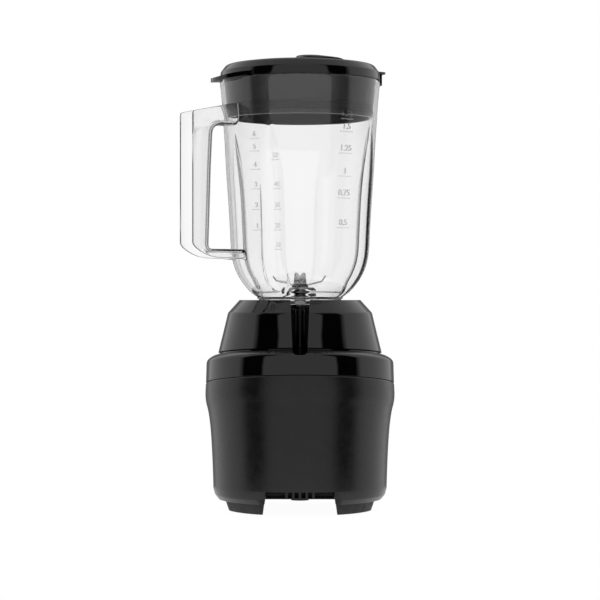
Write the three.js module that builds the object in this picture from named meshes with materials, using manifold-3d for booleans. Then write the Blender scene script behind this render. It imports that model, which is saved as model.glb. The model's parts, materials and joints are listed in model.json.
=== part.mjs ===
// A countertop blender: motor base, clear jug with a handle, blade set, lid and filler cap.
//
// Millimetres, +Z up, -Y is the back of the base (the side with the drain slot), +Y carries the knob.
// Heights below are measured from the counter. The whole group is lowered by UNDERSIDE_HEIGHT at the end,
// so the origin lies on the spindle axis, in the flat underside of the bottom cover.

import * as THREE from 'three';
import { mergeVertices } from 'three/addons/utils/BufferGeometryUtils.js';
import Module from 'manifold-3d';

const wasm = await Module();
wasm.setup();

// ---- Driving dimensions ------------------------------------------------------------------------------

const GAP = 0.3; // air left between pieces that touch
const WALL = 3; // moulded wall of the base and of the jug
const UNDERSIDE_HEIGHT = 14; // the bottom cover above the counter

const BASE_RADIUS = 85; // at the belly, the widest height
const BASE_FOOT_RADIUS = 77.9; // just above the bottom edge
const BASE_RIM_HEIGHT = 9.5; // lowest edge of the housing
const BELLY_HEIGHT = 100;
const BAND_LOW = 113; // the glossy band at the side of the base
const BAND_HIGH = 138.2;
const TILT_RISE = 10.5; // how much higher the band runs at the back than at the side
const TILT_ZONE = [40, 88, 118, 176]; // heights where the tilt starts, is full, fades and has gone

const COLLAR_LOW = 139.6;
const COLLAR_LOW_RADIUS = 73.4;
const COLLAR_SHOULDER_HEIGHT = 176;
const COLLAR_SHOULDER_RADIUS = 64;
const COLLAR_TOP = 187.7;
const COLLAR_TOP_RADIUS = 54;
const WELL_RADIUS = 40.5; // round well that takes the foot of the jug
const WELL_FLOOR = 181.1;
const SOCKET_WELL_RADIUS = 14; // narrow well around the drive socket
const SOCKET_WELL_FLOOR = 146.5;
const SLOT_WIDTH_TOP = 16; // drain slot in the back of the collar
const SLOT_WIDTH_LOW = 13;
const SLOT_BOTTOM = 140.8;

const JUG_BOTTOM = 188.7;
const JUG_FLOOR = 191.4;
const JUG_RIM = 384;
const JUG_RIM_RADIUS = 72;
const JUG_FOOT_RADIUS = 37;
const JUG_FOOT_LOW = WELL_FLOOR + 2.6; // the skirt under the jug rests on the seat ring
const SLEEVE_RADIUS = 5; // bearing sleeve through the floor of the jug
const FLANGE_RADIUS = 8.4;
const JUG_TURN = THREE.MathUtils.degToRad(202); // the lid's tab and two pairs of flutes lie evenly about it
const FLUTE_DEPTH = 6;
const FLUTE_HALF_WIDTH = 11.5;
const FLUTE_TOP = 346;
const HANDLE_TURN = 5; // degrees, from the middle between two flutes
const HANDLE_REACH = 112; // from the spindle axis to the outer edge of the grip
const HANDLE_GRIP = 16.5;
const HANDLE_WIDTH = 30;
const HANDLE_LOW = 226;
const HANDLE_HIGH = 361;

const LID_SKIRT_RADIUS = 65.7; // at the lower edge of the skirt
const LID_SKIRT_TOP_RADIUS = 68.3; // at the rim of the jug
const LID_SKIRT_LOW = 350.4;
const SEAL_GROOVE = [353.9, 362.5];
const LID_TOP = 401;
const LID_RIM_RADIUS = 72;
const FILLER_X = 18; // filler opening, off the centre of the lid
const FILLER_RADIUS = 20;
const FILLER_TOP = 408.6;

const SHAFT_RADIUS = 4;
const ARMATURE_RADIUS = 17.4;
const STACK = [58, 88]; // height of the laminated stator
const STACK_HALF_X = 31;
const STACK_HALF_Y = 26;
const COIL_INNER_X = 16.3;
const COIL_THICKNESS = 7.4;
const COIL_HALF_Y = [13.8, 19.7]; // inner and outer edge of a coil's leg
const DECK = [104, 107]; // floor inside the housing that the motor hangs from
const BRACKET_THICKNESS = 4;
const UPPER_BRACKET_LOW = 97;
const LOWER_BRACKET_LOW = 37;

const KNOB_HEIGHT = 70;
const KNOB_RADIUS = 19;
const KNOB_FACE = 86; // flat face of the boss that the knob turns on
const KNOB_BOSS_RADIUS = 25;

const SEGMENTS = { shell: 36, jug: 56, part: 18, small: 10 };

const FINISHES = {
  satin_black: { color: 0x1f1f20, roughness: 0.45, metalness: 0 },
  gloss_black: { color: 0x141415, roughness: 0.12, metalness: 0 },
  clear: { color: 0xf1f5f7, roughness: 0.05, metalness: 0 },
  rubber: { color: 0x262628, roughness: 0.8, metalness: 0 },
  blade_steel: { color: 0xb9bbc0, roughness: 0.25, metalness: 1 },
  steel: { color: 0x85868c, roughness: 0.4, metalness: 1 },
  laminations: { color: 0x6d7075, roughness: 0.55, metalness: 0.8 },
  copper: { color: 0xb5683a, roughness: 0.4, metalness: 0.8 },
  aluminium: { color: 0x9a9da3, roughness: 0.45, metalness: 0.9 },
  carbon: { color: 0x303030, roughness: 0.7, metalness: 0.2 },
  brass: { color: 0xc09a4b, roughness: 0.35, metalness: 1 },
  nylon: { color: 0xd9d6cc, roughness: 0.5, metalness: 0 },
  board: { color: 0x2f6b3a, roughness: 0.6, metalness: 0 },
};

// ---- Shape helpers -----------------------------------------------------------------------------------

function toSolid(geometry) {
  const bare = geometry.clone();
  bare.deleteAttribute('normal');
  bare.deleteAttribute('uv');
  const merged = mergeVertices(bare, 1e-3);
  return new wasm.Manifold(new wasm.Mesh({
    numProp: 3,
    vertProperties: new Float32Array(merged.attributes.position.array),
    triVerts: new Uint32Array(merged.index.array),
  }));
}

function toGeometry(solid) {
  const mesh = solid.getMesh();
  const geometry = new THREE.BufferGeometry();
  geometry.setAttribute('position', new THREE.BufferAttribute(mesh.vertProperties, 3));
  geometry.setIndex(new THREE.BufferAttribute(mesh.triVerts, 1));
  geometry.computeVertexNormals();
  return geometry;
}

// Points [x, y] along an arc, from one angle to the other in degrees.
function arc(centreX, centreY, radius, from, to, steps) {
  return Array.from({ length: steps + 1 }, (_, i) => {
    const angle = THREE.MathUtils.degToRad(from + ((to - from) * i) / steps);
    return [centreX + radius * Math.cos(angle), centreY + radius * Math.sin(angle)];
  });
}

// Body of revolution about Z. The profile [radius, height] runs anticlockwise and ends on the axis or closes.
function turned(profile, segments = SEGMENTS.part) {
  const points = profile.map(([r, z]) => new THREE.Vector2(r, z));
  const onAxis = points[0].x === 0 && points[points.length - 1].x === 0;
  if (!onAxis) {
    points.push(points[0].clone());
  }
  return new THREE.LatheGeometry(points, segments).rotateX(Math.PI / 2);
}

function tube(outer, inner, low, high, segments = SEGMENTS.part) {
  return toSolid(turned([[inner, low], [outer, low], [outer, high], [inner, high]], segments));
}

function disc(radius, low, high, segments = SEGMENTS.part) {
  return toSolid(turned([[0, low], [radius, low], [radius, high], [0, high]], segments));
}

// Extruded outline of [x, y] points between two heights.
function prism(outline, low, high) {
  const shape = new THREE.Shape(outline.map(([x, y]) => new THREE.Vector2(x, y)));
  const geometry = new THREE.ExtrudeGeometry(shape, { depth: high - low, bevelEnabled: false });
  return toSolid(geometry.translate(0, 0, low));
}

function block([x0, x1], [y0, y1], [z0, z1]) {
  const geometry = new THREE.BoxGeometry(x1 - x0, y1 - y0, z1 - z0);
  return toSolid(geometry.translate((x0 + x1) / 2, (y0 + y1) / 2, (z0 + z1) / 2));
}

// Moves a solid made along Z so that its axis runs along +Y through [x, z], starting at y.
function alongY(solid, x, y, z) {
  return solid.rotate([-90, 0, 0]).translate([x, y, z]);
}

function polar(radius, degrees) {
  const angle = THREE.MathUtils.degToRad(degrees);
  return [radius * Math.cos(angle), radius * Math.sin(angle)];
}

function union(first, ...others) {
  return others.reduce((sum, next) => sum.add(next), first);
}

function smooth(t) {
  const clamped = Math.min(Math.max(t, 0), 1);
  return clamped * clamped * (3 - 2 * clamped);
}

function addPiece(group, name, finish, solid) {
  const mesh = new THREE.Mesh(toGeometry(solid), new THREE.MeshStandardMaterial(FINISHES[finish]));
  mesh.name = name;
  group.add(mesh);
}

// The upper base is sheared so that its band runs on a slope, high at the back and low in front.
function tiltShare(z) {
  const [start, full, fade, end] = TILT_ZONE;
  return smooth((z - start) / (full - start)) * (1 - smooth((z - fade) / (end - fade)));
}

function tilt(geometry) {
  const position = geometry.attributes.position;
  for (let i = 0; i < position.count; i += 1) {
    const z = position.getZ(i);
    position.setZ(i, z - (TILT_RISE / BASE_RADIUS) * tiltShare(z) * position.getY(i));
  }
  return geometry;
}

// ---- Base housing ------------------------------------------------------------------------------------

const housingOutside = [
  [BASE_FOOT_RADIUS - 4.5, BASE_RIM_HEIGHT],
  [BASE_FOOT_RADIUS - 1.4, BASE_RIM_HEIGHT + 4.5],
  [BASE_FOOT_RADIUS, BASE_RIM_HEIGHT + 9],
  [78.6, 40],
  [79.5, 56],
  [80.7, 73],
  [82.2, 86],
  [84.2, 94],
  [BASE_RADIUS, BELLY_HEIGHT],
  [BASE_RADIUS, BAND_LOW - 4.5],
  [BASE_RADIUS - 0.4, BAND_LOW - GAP],
];

const RECESS_TOP = 21.5;
const RECESS_DEPTH = 60; // its inner wall, from the spindle axis
const RECESS_INNER = 31; // half width at the inner wall
const RECESS_FLARE = 0.91; // widening of each cheek per millimetre outwards
const OUTSIDE = 92; // beyond the widest radius, for cutters
const SCREW_RADIUS = 62;
const SCREW_ANGLES = [-12, 12, 168, 192];
const SCREW_BOSS_TOP = 42;

// Recess in the lower edge, front and back, where air is drawn in. Its cheeks flare outwards.
function recess(offset, low, high) {
  const near = RECESS_INNER + offset;
  const far = near + RECESS_FLARE * (OUTSIDE - RECESS_DEPTH);
  const plan = [[-near, -RECESS_DEPTH], [-far, -OUTSIDE], [far, -OUTSIDE], [near, -RECESS_DEPTH]];
  const back = prism(plan, low, high);
  return back.add(back.rotate([0, 0, 180]));
}

// Tubes for the screws of the bottom cover, each tied to the wall by a rib.
function makeScrewBosses() {
  const bossTube = tube(4.5, 1.9, UNDERSIDE_HEIGHT + WALL + 0.6, SCREW_BOSS_TOP, SEGMENTS.small);
  const rib = block([4, 16.5], [-1.2, 1.2], [24, SCREW_BOSS_TOP]);
  const boss = union(bossTube, rib).translate([SCREW_RADIUS, 0, 0]);
  return union(...SCREW_ANGLES.map((angle) => boss.rotate([0, 0, angle])));
}

// Hat-shaped floor inside the housing, with its brim in the wall.
function makeDeck() {
  const outline = [
    [34, DECK[0]],
    [73, DECK[0]],
    [74, 89],
    [82, 86],
    [82, 89],
    [77, 92],
    [76, DECK[1]],
    [34, DECK[1]],
  ];
  return toSolid(turned(outline, SEGMENTS.shell));
}

function makeHousing() {
  const [rimRadius, rimHeight] = housingOutside[0];
  const inside = housingOutside.map(([r, z]) => [r - WALL, z]).reverse();
  const shell = toSolid(tilt(turned([...housingOutside, ...inside], SEGMENTS.shell)));
  const middle = housingOutside.map(([r, z]) => [r - WALL / 2, z]);
  const top = middle[middle.length - 1][1];
  const filled = toSolid(tilt(turned([[0, rimHeight], ...middle, [0, top]], SEGMENTS.shell)));
  const tunnel = recess(WALL, UNDERSIDE_HEIGHT, RECESS_TOP + WALL);
  const inner = rimRadius - WALL - 8; // the knob's boss starts inside the wall
  const panel = alongY(disc(KNOB_BOSS_RADIUS, 0, KNOB_FACE - inner, SEGMENTS.shell), 0, inner, KNOB_HEIGHT);
  const panelRoom = disc(KNOB_BOSS_RADIUS - WALL, 0, KNOB_FACE - inner - WALL + 1, SEGMENTS.part);
  const spindleHole = disc(4.5, 0, KNOB_FACE, SEGMENTS.part);
  return union(shell, union(tunnel, makeScrewBosses(), makeDeck()).intersect(filled), panel)
    .subtract(recess(0, 0, RECESS_TOP))
    .subtract(alongY(panelRoom, 0, inner - 1, KNOB_HEIGHT))
    .subtract(alongY(spindleHole, 0, inner, KNOB_HEIGHT));
}

function makeBand() {
  const outside = [
    [BASE_RADIUS - 0.5, BAND_LOW],
    [BASE_RADIUS - 0.8, BAND_LOW + 9],
    [BASE_RADIUS - 1, BAND_HIGH - 8],
    [83.2, BAND_HIGH - 5.4],
    [80.4, BAND_HIGH - 2.7],
    [75.8, BAND_HIGH - 0.2],
    [COLLAR_LOW_RADIUS - 0.8, BAND_HIGH],
  ];
  const inside = [
    [COLLAR_LOW_RADIUS - 0.8, BAND_HIGH - WALL],
    [75, BAND_HIGH - 8],
    [78.6, BAND_LOW + 10],
    [78.6, BAND_LOW - 4],
    [81, BAND_LOW - 4],
    [81, BAND_LOW],
  ];
  return toSolid(tilt(turned([...outside, ...inside], SEGMENTS.shell))).subtract(slotCutter());
}

// ---- Collar that carries the jug ---------------------------------------------------------------------

function slotCutter() {
  const top = SLOT_WIDTH_TOP / 2;
  const low = SLOT_WIDTH_LOW / 2;
  const outline = [
    [-top - 0.8, COLLAR_TOP + 1],
    [-top, 182],
    ...arc(0, SLOT_BOTTOM + low, low, 180, 360, 8),
    [top, 182],
    [top + 0.8, COLLAR_TOP + 1],
  ];
  return prism(outline, 0, OUTSIDE).rotate([90, 0, 0]);
}

function makeCollar() {
  const outside = [
    [COLLAR_LOW_RADIUS, COLLAR_LOW],
    [70.6, 154],
    [67.4, 166],
    [COLLAR_SHOULDER_RADIUS, COLLAR_SHOULDER_HEIGHT],
    [COLLAR_TOP_RADIUS + 1, COLLAR_TOP - 0.8],
    [COLLAR_TOP_RADIUS, COLLAR_TOP],
  ];
  const skirt = [
    [COLLAR_LOW_RADIUS - 4.6, BAND_HIGH - 6],
    [COLLAR_LOW_RADIUS - 2, BAND_HIGH - 6],
    [COLLAR_LOW_RADIUS - 2, COLLAR_LOW],
  ];
  const inside = [
    [WELL_RADIUS, COLLAR_TOP],
    [WELL_RADIUS, WELL_FLOOR],
    [SOCKET_WELL_RADIUS, WELL_FLOOR],
    [SOCKET_WELL_RADIUS, SOCKET_WELL_FLOOR],
    [6, SOCKET_WELL_FLOOR],
    [6, SOCKET_WELL_FLOOR - WALL],
    [SOCKET_WELL_RADIUS + WALL, SOCKET_WELL_FLOOR - WALL],
    [SOCKET_WELL_RADIUS + WALL, WELL_FLOOR - WALL],
    [WELL_RADIUS + WALL, WELL_FLOOR - WALL],
    [WELL_RADIUS + WALL, COLLAR_TOP - WALL - 1],
    [COLLAR_TOP_RADIUS - 0.5, COLLAR_TOP - WALL - 1],
    [COLLAR_SHOULDER_RADIUS - WALL, COLLAR_SHOULDER_HEIGHT - 2],
    [64.6, 166],
    [67.6, 154],
  ];
  const shell = toSolid(tilt(turned([...skirt, ...outside, ...inside], SEGMENTS.shell)));
  const filled = toSolid(tilt(turned([[0, COLLAR_LOW], ...outside, [0, COLLAR_TOP]], SEGMENTS.shell)));
  const channel = block([-SLOT_WIDTH_TOP / 2 - WALL, SLOT_WIDTH_TOP / 2 + WALL], [-80, -SOCKET_WELL_RADIUS],
    [SOCKET_WELL_FLOOR - WALL, WELL_FLOOR]).intersect(filled);
  const wellSpace = disc(SOCKET_WELL_RADIUS, SOCKET_WELL_FLOOR, COLLAR_TOP, SEGMENTS.part);
  const channelFloor = block([-20, 20], [-COLLAR_SHOULDER_RADIUS, 0], [0, SOCKET_WELL_FLOOR]);
  return union(shell, channel).subtract(wellSpace).subtract(slotCutter().subtract(channelFloor));
}

function makeSeatRing() {
  const ring = tube(WELL_RADIUS - GAP, 30, WELL_FLOOR + GAP, WELL_FLOOR + 2, SEGMENTS.shell);
  return ring.subtract(slotCutter());
}

// ---- Bottom cover, feet and screws -------------------------------------------------------------------

const COVER_TOP = UNDERSIDE_HEIGHT + WALL;
const COVER_RADIUS = 72.4;
const THROUGH_COVER = [UNDERSIDE_HEIGHT - 4, COVER_TOP + 3]; // height range of cutters through the cover
const PAD_RADIUS = 20; // flat middle of the underside, inside a groove
const BAFFLE_DEPTH = 38; // from the spindle axis
const GRILLE_RIBS = 5;
const GRILLE_RIB_WIDTH = 2.2;
const GRILLE_PITCH = 5.9;
const INTAKES = 6;
const GLAND_PLACE = [0, -46];

// Upright ribs in the middle of each recess's inner end. Beside them the way for air is open.
function makeGrille() {
  const half = GRILLE_RIB_WIDTH / 2;
  const height = [COVER_TOP - 1, RECESS_TOP - GAP];
  const rib = block([-half, half], [0.5 - RECESS_DEPTH, WALL - RECESS_DEPTH], height);
  const ribs = Array.from({ length: GRILLE_RIBS }, (_, i) => (
    rib.translate([(i - (GRILLE_RIBS - 1) / 2) * GRILLE_PITCH, 0, 0])));
  const row = union(...ribs);
  return row.add(row.rotate([0, 0, 180]));
}

// Walls between the fan and the ribs, so that air has to turn upwards.
function makeBaffles() {
  const depth = [-BAFFLE_DEPTH, 2 - BAFFLE_DEPTH];
  const baffle = block([-RECESS_INNER, RECESS_INNER], depth, [COVER_TOP - 1, 34]);
  return baffle.add(baffle.rotate([0, 0, 180]));
}

function makeBottomCover() {
  const plate = disc(COVER_RADIUS, UNDERSIDE_HEIGHT, COVER_TOP, SEGMENTS.shell)
    .subtract(recess(WALL + GAP, ...THROUGH_COVER));
  const intake = tube(34, 30, ...THROUGH_COVER).intersect(block([0, 40], [-6, 6], THROUGH_COVER));
  const intakes = Array.from({ length: INTAKES }, (_, i) => intake.rotate([0, 0, (i * 360) / INTAKES]));
  const screwHole = disc(2.2, ...THROUGH_COVER, SEGMENTS.small);
  const screwHoles = SCREW_ANGLES.map((angle) => screwHole.translate([...polar(SCREW_RADIUS, angle), 0]));
  const glandHole = disc(6 + GAP, ...THROUGH_COVER, SEGMENTS.part).translate([...GLAND_PLACE, 0]);
  const groove = tube(PAD_RADIUS + 1.5, PAD_RADIUS, THROUGH_COVER[0], UNDERSIDE_HEIGHT + 1);
  return union(plate, makeGrille(), makeBaffles())
    .subtract(union(...intakes, ...screwHoles, glandHole, groove));
}

// A foot is a sector of a ring, from 31 to 73 degrees off the back or the front, flush with the recess.
function makeFoot(middle) {
  const profile = [
    [50, 1.2],
    [51.2, 0],
    [64.6, 0],
    [66.2, 1.4],
    [69.5, BASE_RIM_HEIGHT],
    [69.5, UNDERSIDE_HEIGHT - GAP],
    [50, UNDERSIDE_HEIGHT - GAP],
  ];
  const ring = toSolid(turned(profile, SEGMENTS.shell));
  const rays = [polar(OUTSIDE, middle - 21), polar(OUTSIDE + 8, middle), polar(OUTSIDE, middle + 21)];
  const wedge = [[0, 0], ...rays];
  const between = block([-RECESS_INNER, RECESS_INNER], [-OUTSIDE, OUTSIDE], [-1, UNDERSIDE_HEIGHT]);
  return ring.intersect(prism(wedge, -1, UNDERSIDE_HEIGHT))
    .subtract(recess(0, -1, UNDERSIDE_HEIGHT))
    .subtract(between);
}

function makeScrew(angle) {
  const seat = UNDERSIDE_HEIGHT - GAP;
  const profile = [[0, seat - 2.3], [3.6, seat - 1.9], [3.6, seat], [1.6, seat], [1.6, 33], [0, 34]];
  const cross = block([-2.2, 2.2], [-0.5, 0.5], [UNDERSIDE_HEIGHT - 4, UNDERSIDE_HEIGHT - 1.6]);
  return toSolid(turned(profile, SEGMENTS.small)).subtract(cross).subtract(cross.rotate([0, 0, 90]))
    .translate([...polar(SCREW_RADIUS, angle), 0]);
}

// Cord bushing: a sleeve with a flange on each side of the cover.
function makeGland() {
  const profile = [
    [3.6, UNDERSIDE_HEIGHT - 1.8],
    [8, UNDERSIDE_HEIGHT - 1.8],
    [8, UNDERSIDE_HEIGHT - GAP],
    [6, UNDERSIDE_HEIGHT - GAP],
    [6, COVER_TOP + GAP],
    [8, COVER_TOP + GAP],
    [7.4, COVER_TOP + 6],
    [3.6, COVER_TOP + 6],
  ];
  return toSolid(turned(profile, SEGMENTS.part)).translate([...GLAND_PLACE, 0]);
}

// ---- Motor, fixed parts ------------------------------------------------------------------------------

function makeStator() {
  const [x, y, chamfer] = [STACK_HALF_X, STACK_HALF_Y, 6];
  const corner = [[x, y - chamfer], [x - chamfer, y]];
  const half = [...corner, ...corner.map(([cx, cy]) => [-cx, cy]).reverse()];
  const outline = [...half, ...half.map(([cx, cy]) => [-cx, -cy])];
  const windowX = [COIL_INNER_X - GAP, COIL_INNER_X + COIL_THICKNESS + GAP];
  const windowY = [COIL_HALF_Y[0] - GAP, COIL_HALF_Y[1] + GAP];
  const window = block(windowX, windowY, STACK);
  const sides = union(window, window.mirror([0, 1, 0]));
  return prism(outline, ...STACK)
    .subtract(disc(ARMATURE_RADIUS + 0.6, ...STACK))
    .subtract(union(sides, sides.mirror([1, 0, 0])));
}

function makeCoil(side) {
  const overhang = 6;
  const [legInside, legOutside] = COIL_HALF_Y;
  const thickness = [COIL_INNER_X, COIL_INNER_X + COIL_THICKNESS];
  const outer = block(thickness, [-legOutside, legOutside], [STACK[0] - overhang, STACK[1] + overhang]);
  const inner = block(thickness, [-legInside, legInside], [STACK[0] - GAP, STACK[1] + GAP]);
  const coil = outer.subtract(inner);
  return side > 0 ? coil : coil.mirror([1, 0, 0]);
}

function pillars(low, high) {
  return [[1, 1], [1, -1], [-1, 1], [-1, -1]].map(([sx, sy]) => disc(2.6, low, high, SEGMENTS.small)
    .translate([sx * 27.3, sy * 18.5, 0]));
}

// Cross with a bearing seat and four legs that reach the stator.
function makeBracket(low, bearingRadius, legLow, legHigh) {
  const height = [low, low + BRACKET_THICKNESS];
  const cross = union(block([-34, 34], [-6, 6], height), block([-6, 6], [-34, 34], height));
  const arms = union(block([-31, 31], [-21, -15.5], height), block([-31, 31], [15.5, 21], height));
  const seat = disc(bearingRadius + WALL, ...height);
  return union(cross, arms, seat, ...pillars(legLow, legHigh)).subtract(disc(bearingRadius + GAP, ...height));
}

// Rubber mount between the upper bracket and the deck, at an angle round the spindle.
function makeMotorMount(degrees) {
  const height = [UPPER_BRACKET_LOW + BRACKET_THICKNESS + GAP, DECK[0] - GAP];
  const lug = disc(5, ...height, SEGMENTS.small);
  const arm = block([30, 38], [-4, 4], height);
  return union(lug.translate([30, 0, 0]), arm, lug.translate([40, 0, 0])).rotate([0, 0, degrees]);
}

function makeBrushHolder(sign) {
  const body = block([-5.5, 5.5], [18, 36], [44, 54]).subtract(block([-4, 4], [10, 33], [45.5, 52.5]));
  const foot = block([-4, 4], [27, 33], [LOWER_BRACKET_LOW + BRACKET_THICKNESS + GAP, 44]);
  const holder = union(body, foot);
  return sign > 0 ? holder : holder.mirror([0, 1, 0]);
}

function makeBrush(sign) {
  const brush = block([-3.7, 3.7], [12.6, 30], [45.8, 52.2]);
  return sign > 0 ? brush : brush.mirror([0, 1, 0]);
}

// ---- Rotor -------------------------------------------------------------------------------------------

const SOCKET = [SOCKET_WELL_FLOOR + 0.5, 182.4];
const SOCKET_RIBS = 12;
const SHAFT_TOP = 162;

function makeArmature() {
  const [low, high] = STACK;
  const bore = SHAFT_RADIUS + GAP;
  const lower = [[bore, low - 2.5], [13, low - 2.5], [15, low], [ARMATURE_RADIUS, low]];
  const upper = [[ARMATURE_RADIUS, high], [15, high], [13, high + 2.5], [bore, high + 2.5]];
  return toSolid(turned([...lower, ...upper]));
}

const FAN = { low: 21, plate: 30, high: 32, radius: 30, vanes: 9 };

function makeFan() {
  const hub = tube(8, SHAFT_RADIUS + GAP, FAN.low, FAN.high);
  const plate = tube(FAN.radius, 7.5, FAN.plate, FAN.high);
  const vane = block([7, FAN.radius - 0.5], [-0.8, 0.8], [FAN.low + 1, FAN.plate + 0.5]).rotate([0, 0, 18]);
  const vanes = Array.from({ length: FAN.vanes }, (_, i) => vane.rotate([0, 0, (i * 360) / FAN.vanes]));
  return union(hub, plate, ...vanes);
}

// Ribbed sleeve: motor shaft below, six-sided hole for the blade shaft above.
function makeDriveSocket() {
  const outline = [];
  for (let i = 0; i < SOCKET_RIBS; i += 1) {
    const start = (i * 360) / SOCKET_RIBS;
    outline.push(polar(8, start - 7), polar(8, start + 7), polar(7.2, start + 10), polar(7.2, start + 20));
  }
  const hexagon = arc(0, 0, 4.2, 0, 300, 5);
  return prism(outline, ...SOCKET)
    .subtract(disc(SHAFT_RADIUS + GAP, 0, SHAFT_TOP + 1, SEGMENTS.part))
    .subtract(prism(hexagon, SHAFT_TOP + 3, 190));
}

// ---- Jug ---------------------------------------------------------------------------------------------

// Angle to the nearest flute, in radians, seen in the jug's own frame (handle along +X).
function fluteAngle(angle) {
  const quarter = Math.PI / 2;
  const turnedAngle = angle - quarter / 2;
  return turnedAngle - quarter * Math.round(turnedAngle / quarter);
}

function flute(geometry) {
  const position = geometry.attributes.position;
  for (let i = 0; i < position.count; i += 1) {
    const [x, y, z] = [position.getX(i), position.getY(i), position.getZ(i)];
    const radius = Math.hypot(x, y);
    const across = Math.abs(fluteAngle(Math.atan2(y, x))) * radius / FLUTE_HALF_WIDTH;
    const bump = across < 1 ? Math.cos((across * Math.PI) / 2) ** 2 : 0;
    const along = smooth((FLUTE_TOP - z) / 90) * smooth((z - JUG_FLOOR - 4) / 24);
    const scale = 1 - (FLUTE_DEPTH * bump * along) / Math.max(radius, 1);
    position.setXYZ(i, x * scale, y * scale, z);
  }
  return geometry;
}

function makeJugBody() {
  const outside = [
    [JUG_FOOT_RADIUS, JUG_FOOT_LOW],
    [JUG_FOOT_RADIUS, JUG_BOTTOM],
    [JUG_FOOT_RADIUS + 1.4, JUG_BOTTOM],
    [JUG_FOOT_RADIUS + 1.4, JUG_BOTTOM + 1.7],
    [44.5, 194.8],
    [54.6, 208],
    [60.6, 222],
    [63, 250],
    [65.3, 288],
    [67.4, 322],
    [69.9, 362],
    [JUG_RIM_RADIUS, 380],
    [JUG_RIM_RADIUS, JUG_RIM],
  ];
  const inside = [
    [JUG_RIM_RADIUS - WALL, JUG_RIM],
    [66.9, 362],
    [64.4, 322],
    [62.3, 288],
    [60, 250],
    [57, 222],
    [51.8, 210],
    [42.3, 196.5],
    [35.3, JUG_FLOOR],
    [SLEEVE_RADIUS + GAP, JUG_FLOOR],
    [SLEEVE_RADIUS + GAP, JUG_BOTTOM],
    [JUG_FOOT_RADIUS - WALL, JUG_BOTTOM],
    [JUG_FOOT_RADIUS - WALL, JUG_FOOT_LOW],
  ];
  return toSolid(flute(turned([...outside, ...inside], SEGMENTS.jug)));
}

// Edge of the handle towards the fingers, from its lower to its upper end at the jug, moved outwards by a
// distance.
function fingerSide(distance) {
  const inner = HANDLE_REACH - HANDLE_GRIP;
  return [
    [60, HANDLE_LOW + 6.5 - distance],
    ...arc(inner - 3.5, HANDLE_LOW + 10.5, 3.5 + distance, -80, 0, 2),
    ...arc(inner - 9, HANDLE_HIGH - 28.5, 9 + distance, 0, 80, 3),
    [66, HANDLE_HIGH - 18.9 + distance],
  ];
}

// The handle is a C with the section of a U: a web towards the fingers and a flange on each side.
function makeHandle() {
  const outline = [
    [66, HANDLE_HIGH + 0.6],
    [HANDLE_REACH - 10, HANDLE_HIGH - 4],
    ...arc(HANDLE_REACH - 7, HANDLE_HIGH - 12, 7, 75, 0, 3),
    [HANDLE_REACH, HANDLE_LOW + 14],
    ...arc(HANDLE_REACH - 6, HANDLE_LOW + 12, 6, 0, -80, 3),
    [60, HANDLE_LOW],
    ...fingerSide(0),
  ];
  const half = HANDLE_WIDTH / 2;
  const blank = prism(outline, -half, half).rotate([90, 0, 0]);
  const [reach, low, high] = [HANDLE_REACH + 5, HANDLE_LOW - 5, HANDLE_HIGH + 5];
  const channel = [[60, high], [reach, high], [reach, low], [60, low], ...fingerSide(WALL)];
  const pocket = prism(channel, WALL - half, half - WALL).rotate([90, 0, 0]);
  const jugSpace = [[0, 200], [62, 222], [63.4, 250], [65.7, 288], [67.8, 322], [70.3, 362], [0, 364]];
  return blank.subtract(pocket)
    .rotate([0, 0, HANDLE_TURN])
    .subtract(toSolid(turned(jugSpace, SEGMENTS.jug)));
}

// ---- Blade set ---------------------------------------------------------------------------------------

const BLADE_THICKNESS = 1.4;
const BLADE_HUB_HEIGHT = 198;
const BLADE_SHAFT_RADIUS = 2.6;
const BUSH_RADIUS = 3.6;

// One blade plate with two arms along X. The profile is [distance, height] along an arm, the plate narrows
// from its root width to a pointed tip.
function makeBlade(profile, rootWidth, tipShift) {
  const over = profile.map(([distance, height]) => [distance, height + BLADE_THICKNESS]).reverse();
  const side = prism([...profile, ...over], -rootWidth, rootWidth).rotate([90, 0, 0]);
  const reach = profile[profile.length - 1][0] + 1;
  const half = rootWidth / 2;
  const plan = [
    [-1, -half],
    [reach * 0.5, -half],
    [reach, tipShift - 0.6],
    [reach, tipShift + 0.6],
    [reach * 0.5, half],
    [-1, half],
  ];
  const arm = side.intersect(prism(plan, JUG_BOTTOM, JUG_RIM));
  const hub = disc(6, profile[0][1], profile[0][1] + BLADE_THICKNESS, SEGMENTS.small);
  return union(hub, arm, arm.rotate([0, 0, 180])).subtract(disc(3, JUG_BOTTOM, JUG_RIM, SEGMENTS.small));
}

// Sleeve through the floor of the jug, with a flange above it.
function makeBearingHousing() {
  const bore = BUSH_RADIUS + GAP;
  const profile = [
    [bore, JUG_BOTTOM - 4],
    [SLEEVE_RADIUS, JUG_BOTTOM - 4],
    [SLEEVE_RADIUS, JUG_FLOOR + 1.6],
    [FLANGE_RADIUS, JUG_FLOOR + 1.6],
    [FLANGE_RADIUS, JUG_FLOOR + 2.4],
    [SLEEVE_RADIUS, JUG_FLOOR + 3.6],
    [SLEEVE_RADIUS - 0.3, BLADE_HUB_HEIGHT - 1],
    [bore, BLADE_HUB_HEIGHT - 1],
  ];
  return toSolid(turned(profile));
}

// Six-sided nut that holds the sleeve from below.
function makeBearingNut() {
  const nut = prism(arc(0, 0, 9, 0, 300, 5), JUG_BOTTOM - 4.5, JUG_BOTTOM - GAP);
  return nut.subtract(disc(SLEEVE_RADIUS + GAP, JUG_BOTTOM - 5, JUG_BOTTOM));
}

function makeBladeShaft() {
  const round = [[0, 181], [BLADE_SHAFT_RADIUS, 181], [BLADE_SHAFT_RADIUS, 203.4], [0, 203.4]];
  const hexagon = arc(0, 0, 3.7, 0, 300, 5);
  return union(toSolid(turned(round, SEGMENTS.small)), prism(hexagon, 167, 182.5));
}

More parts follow.
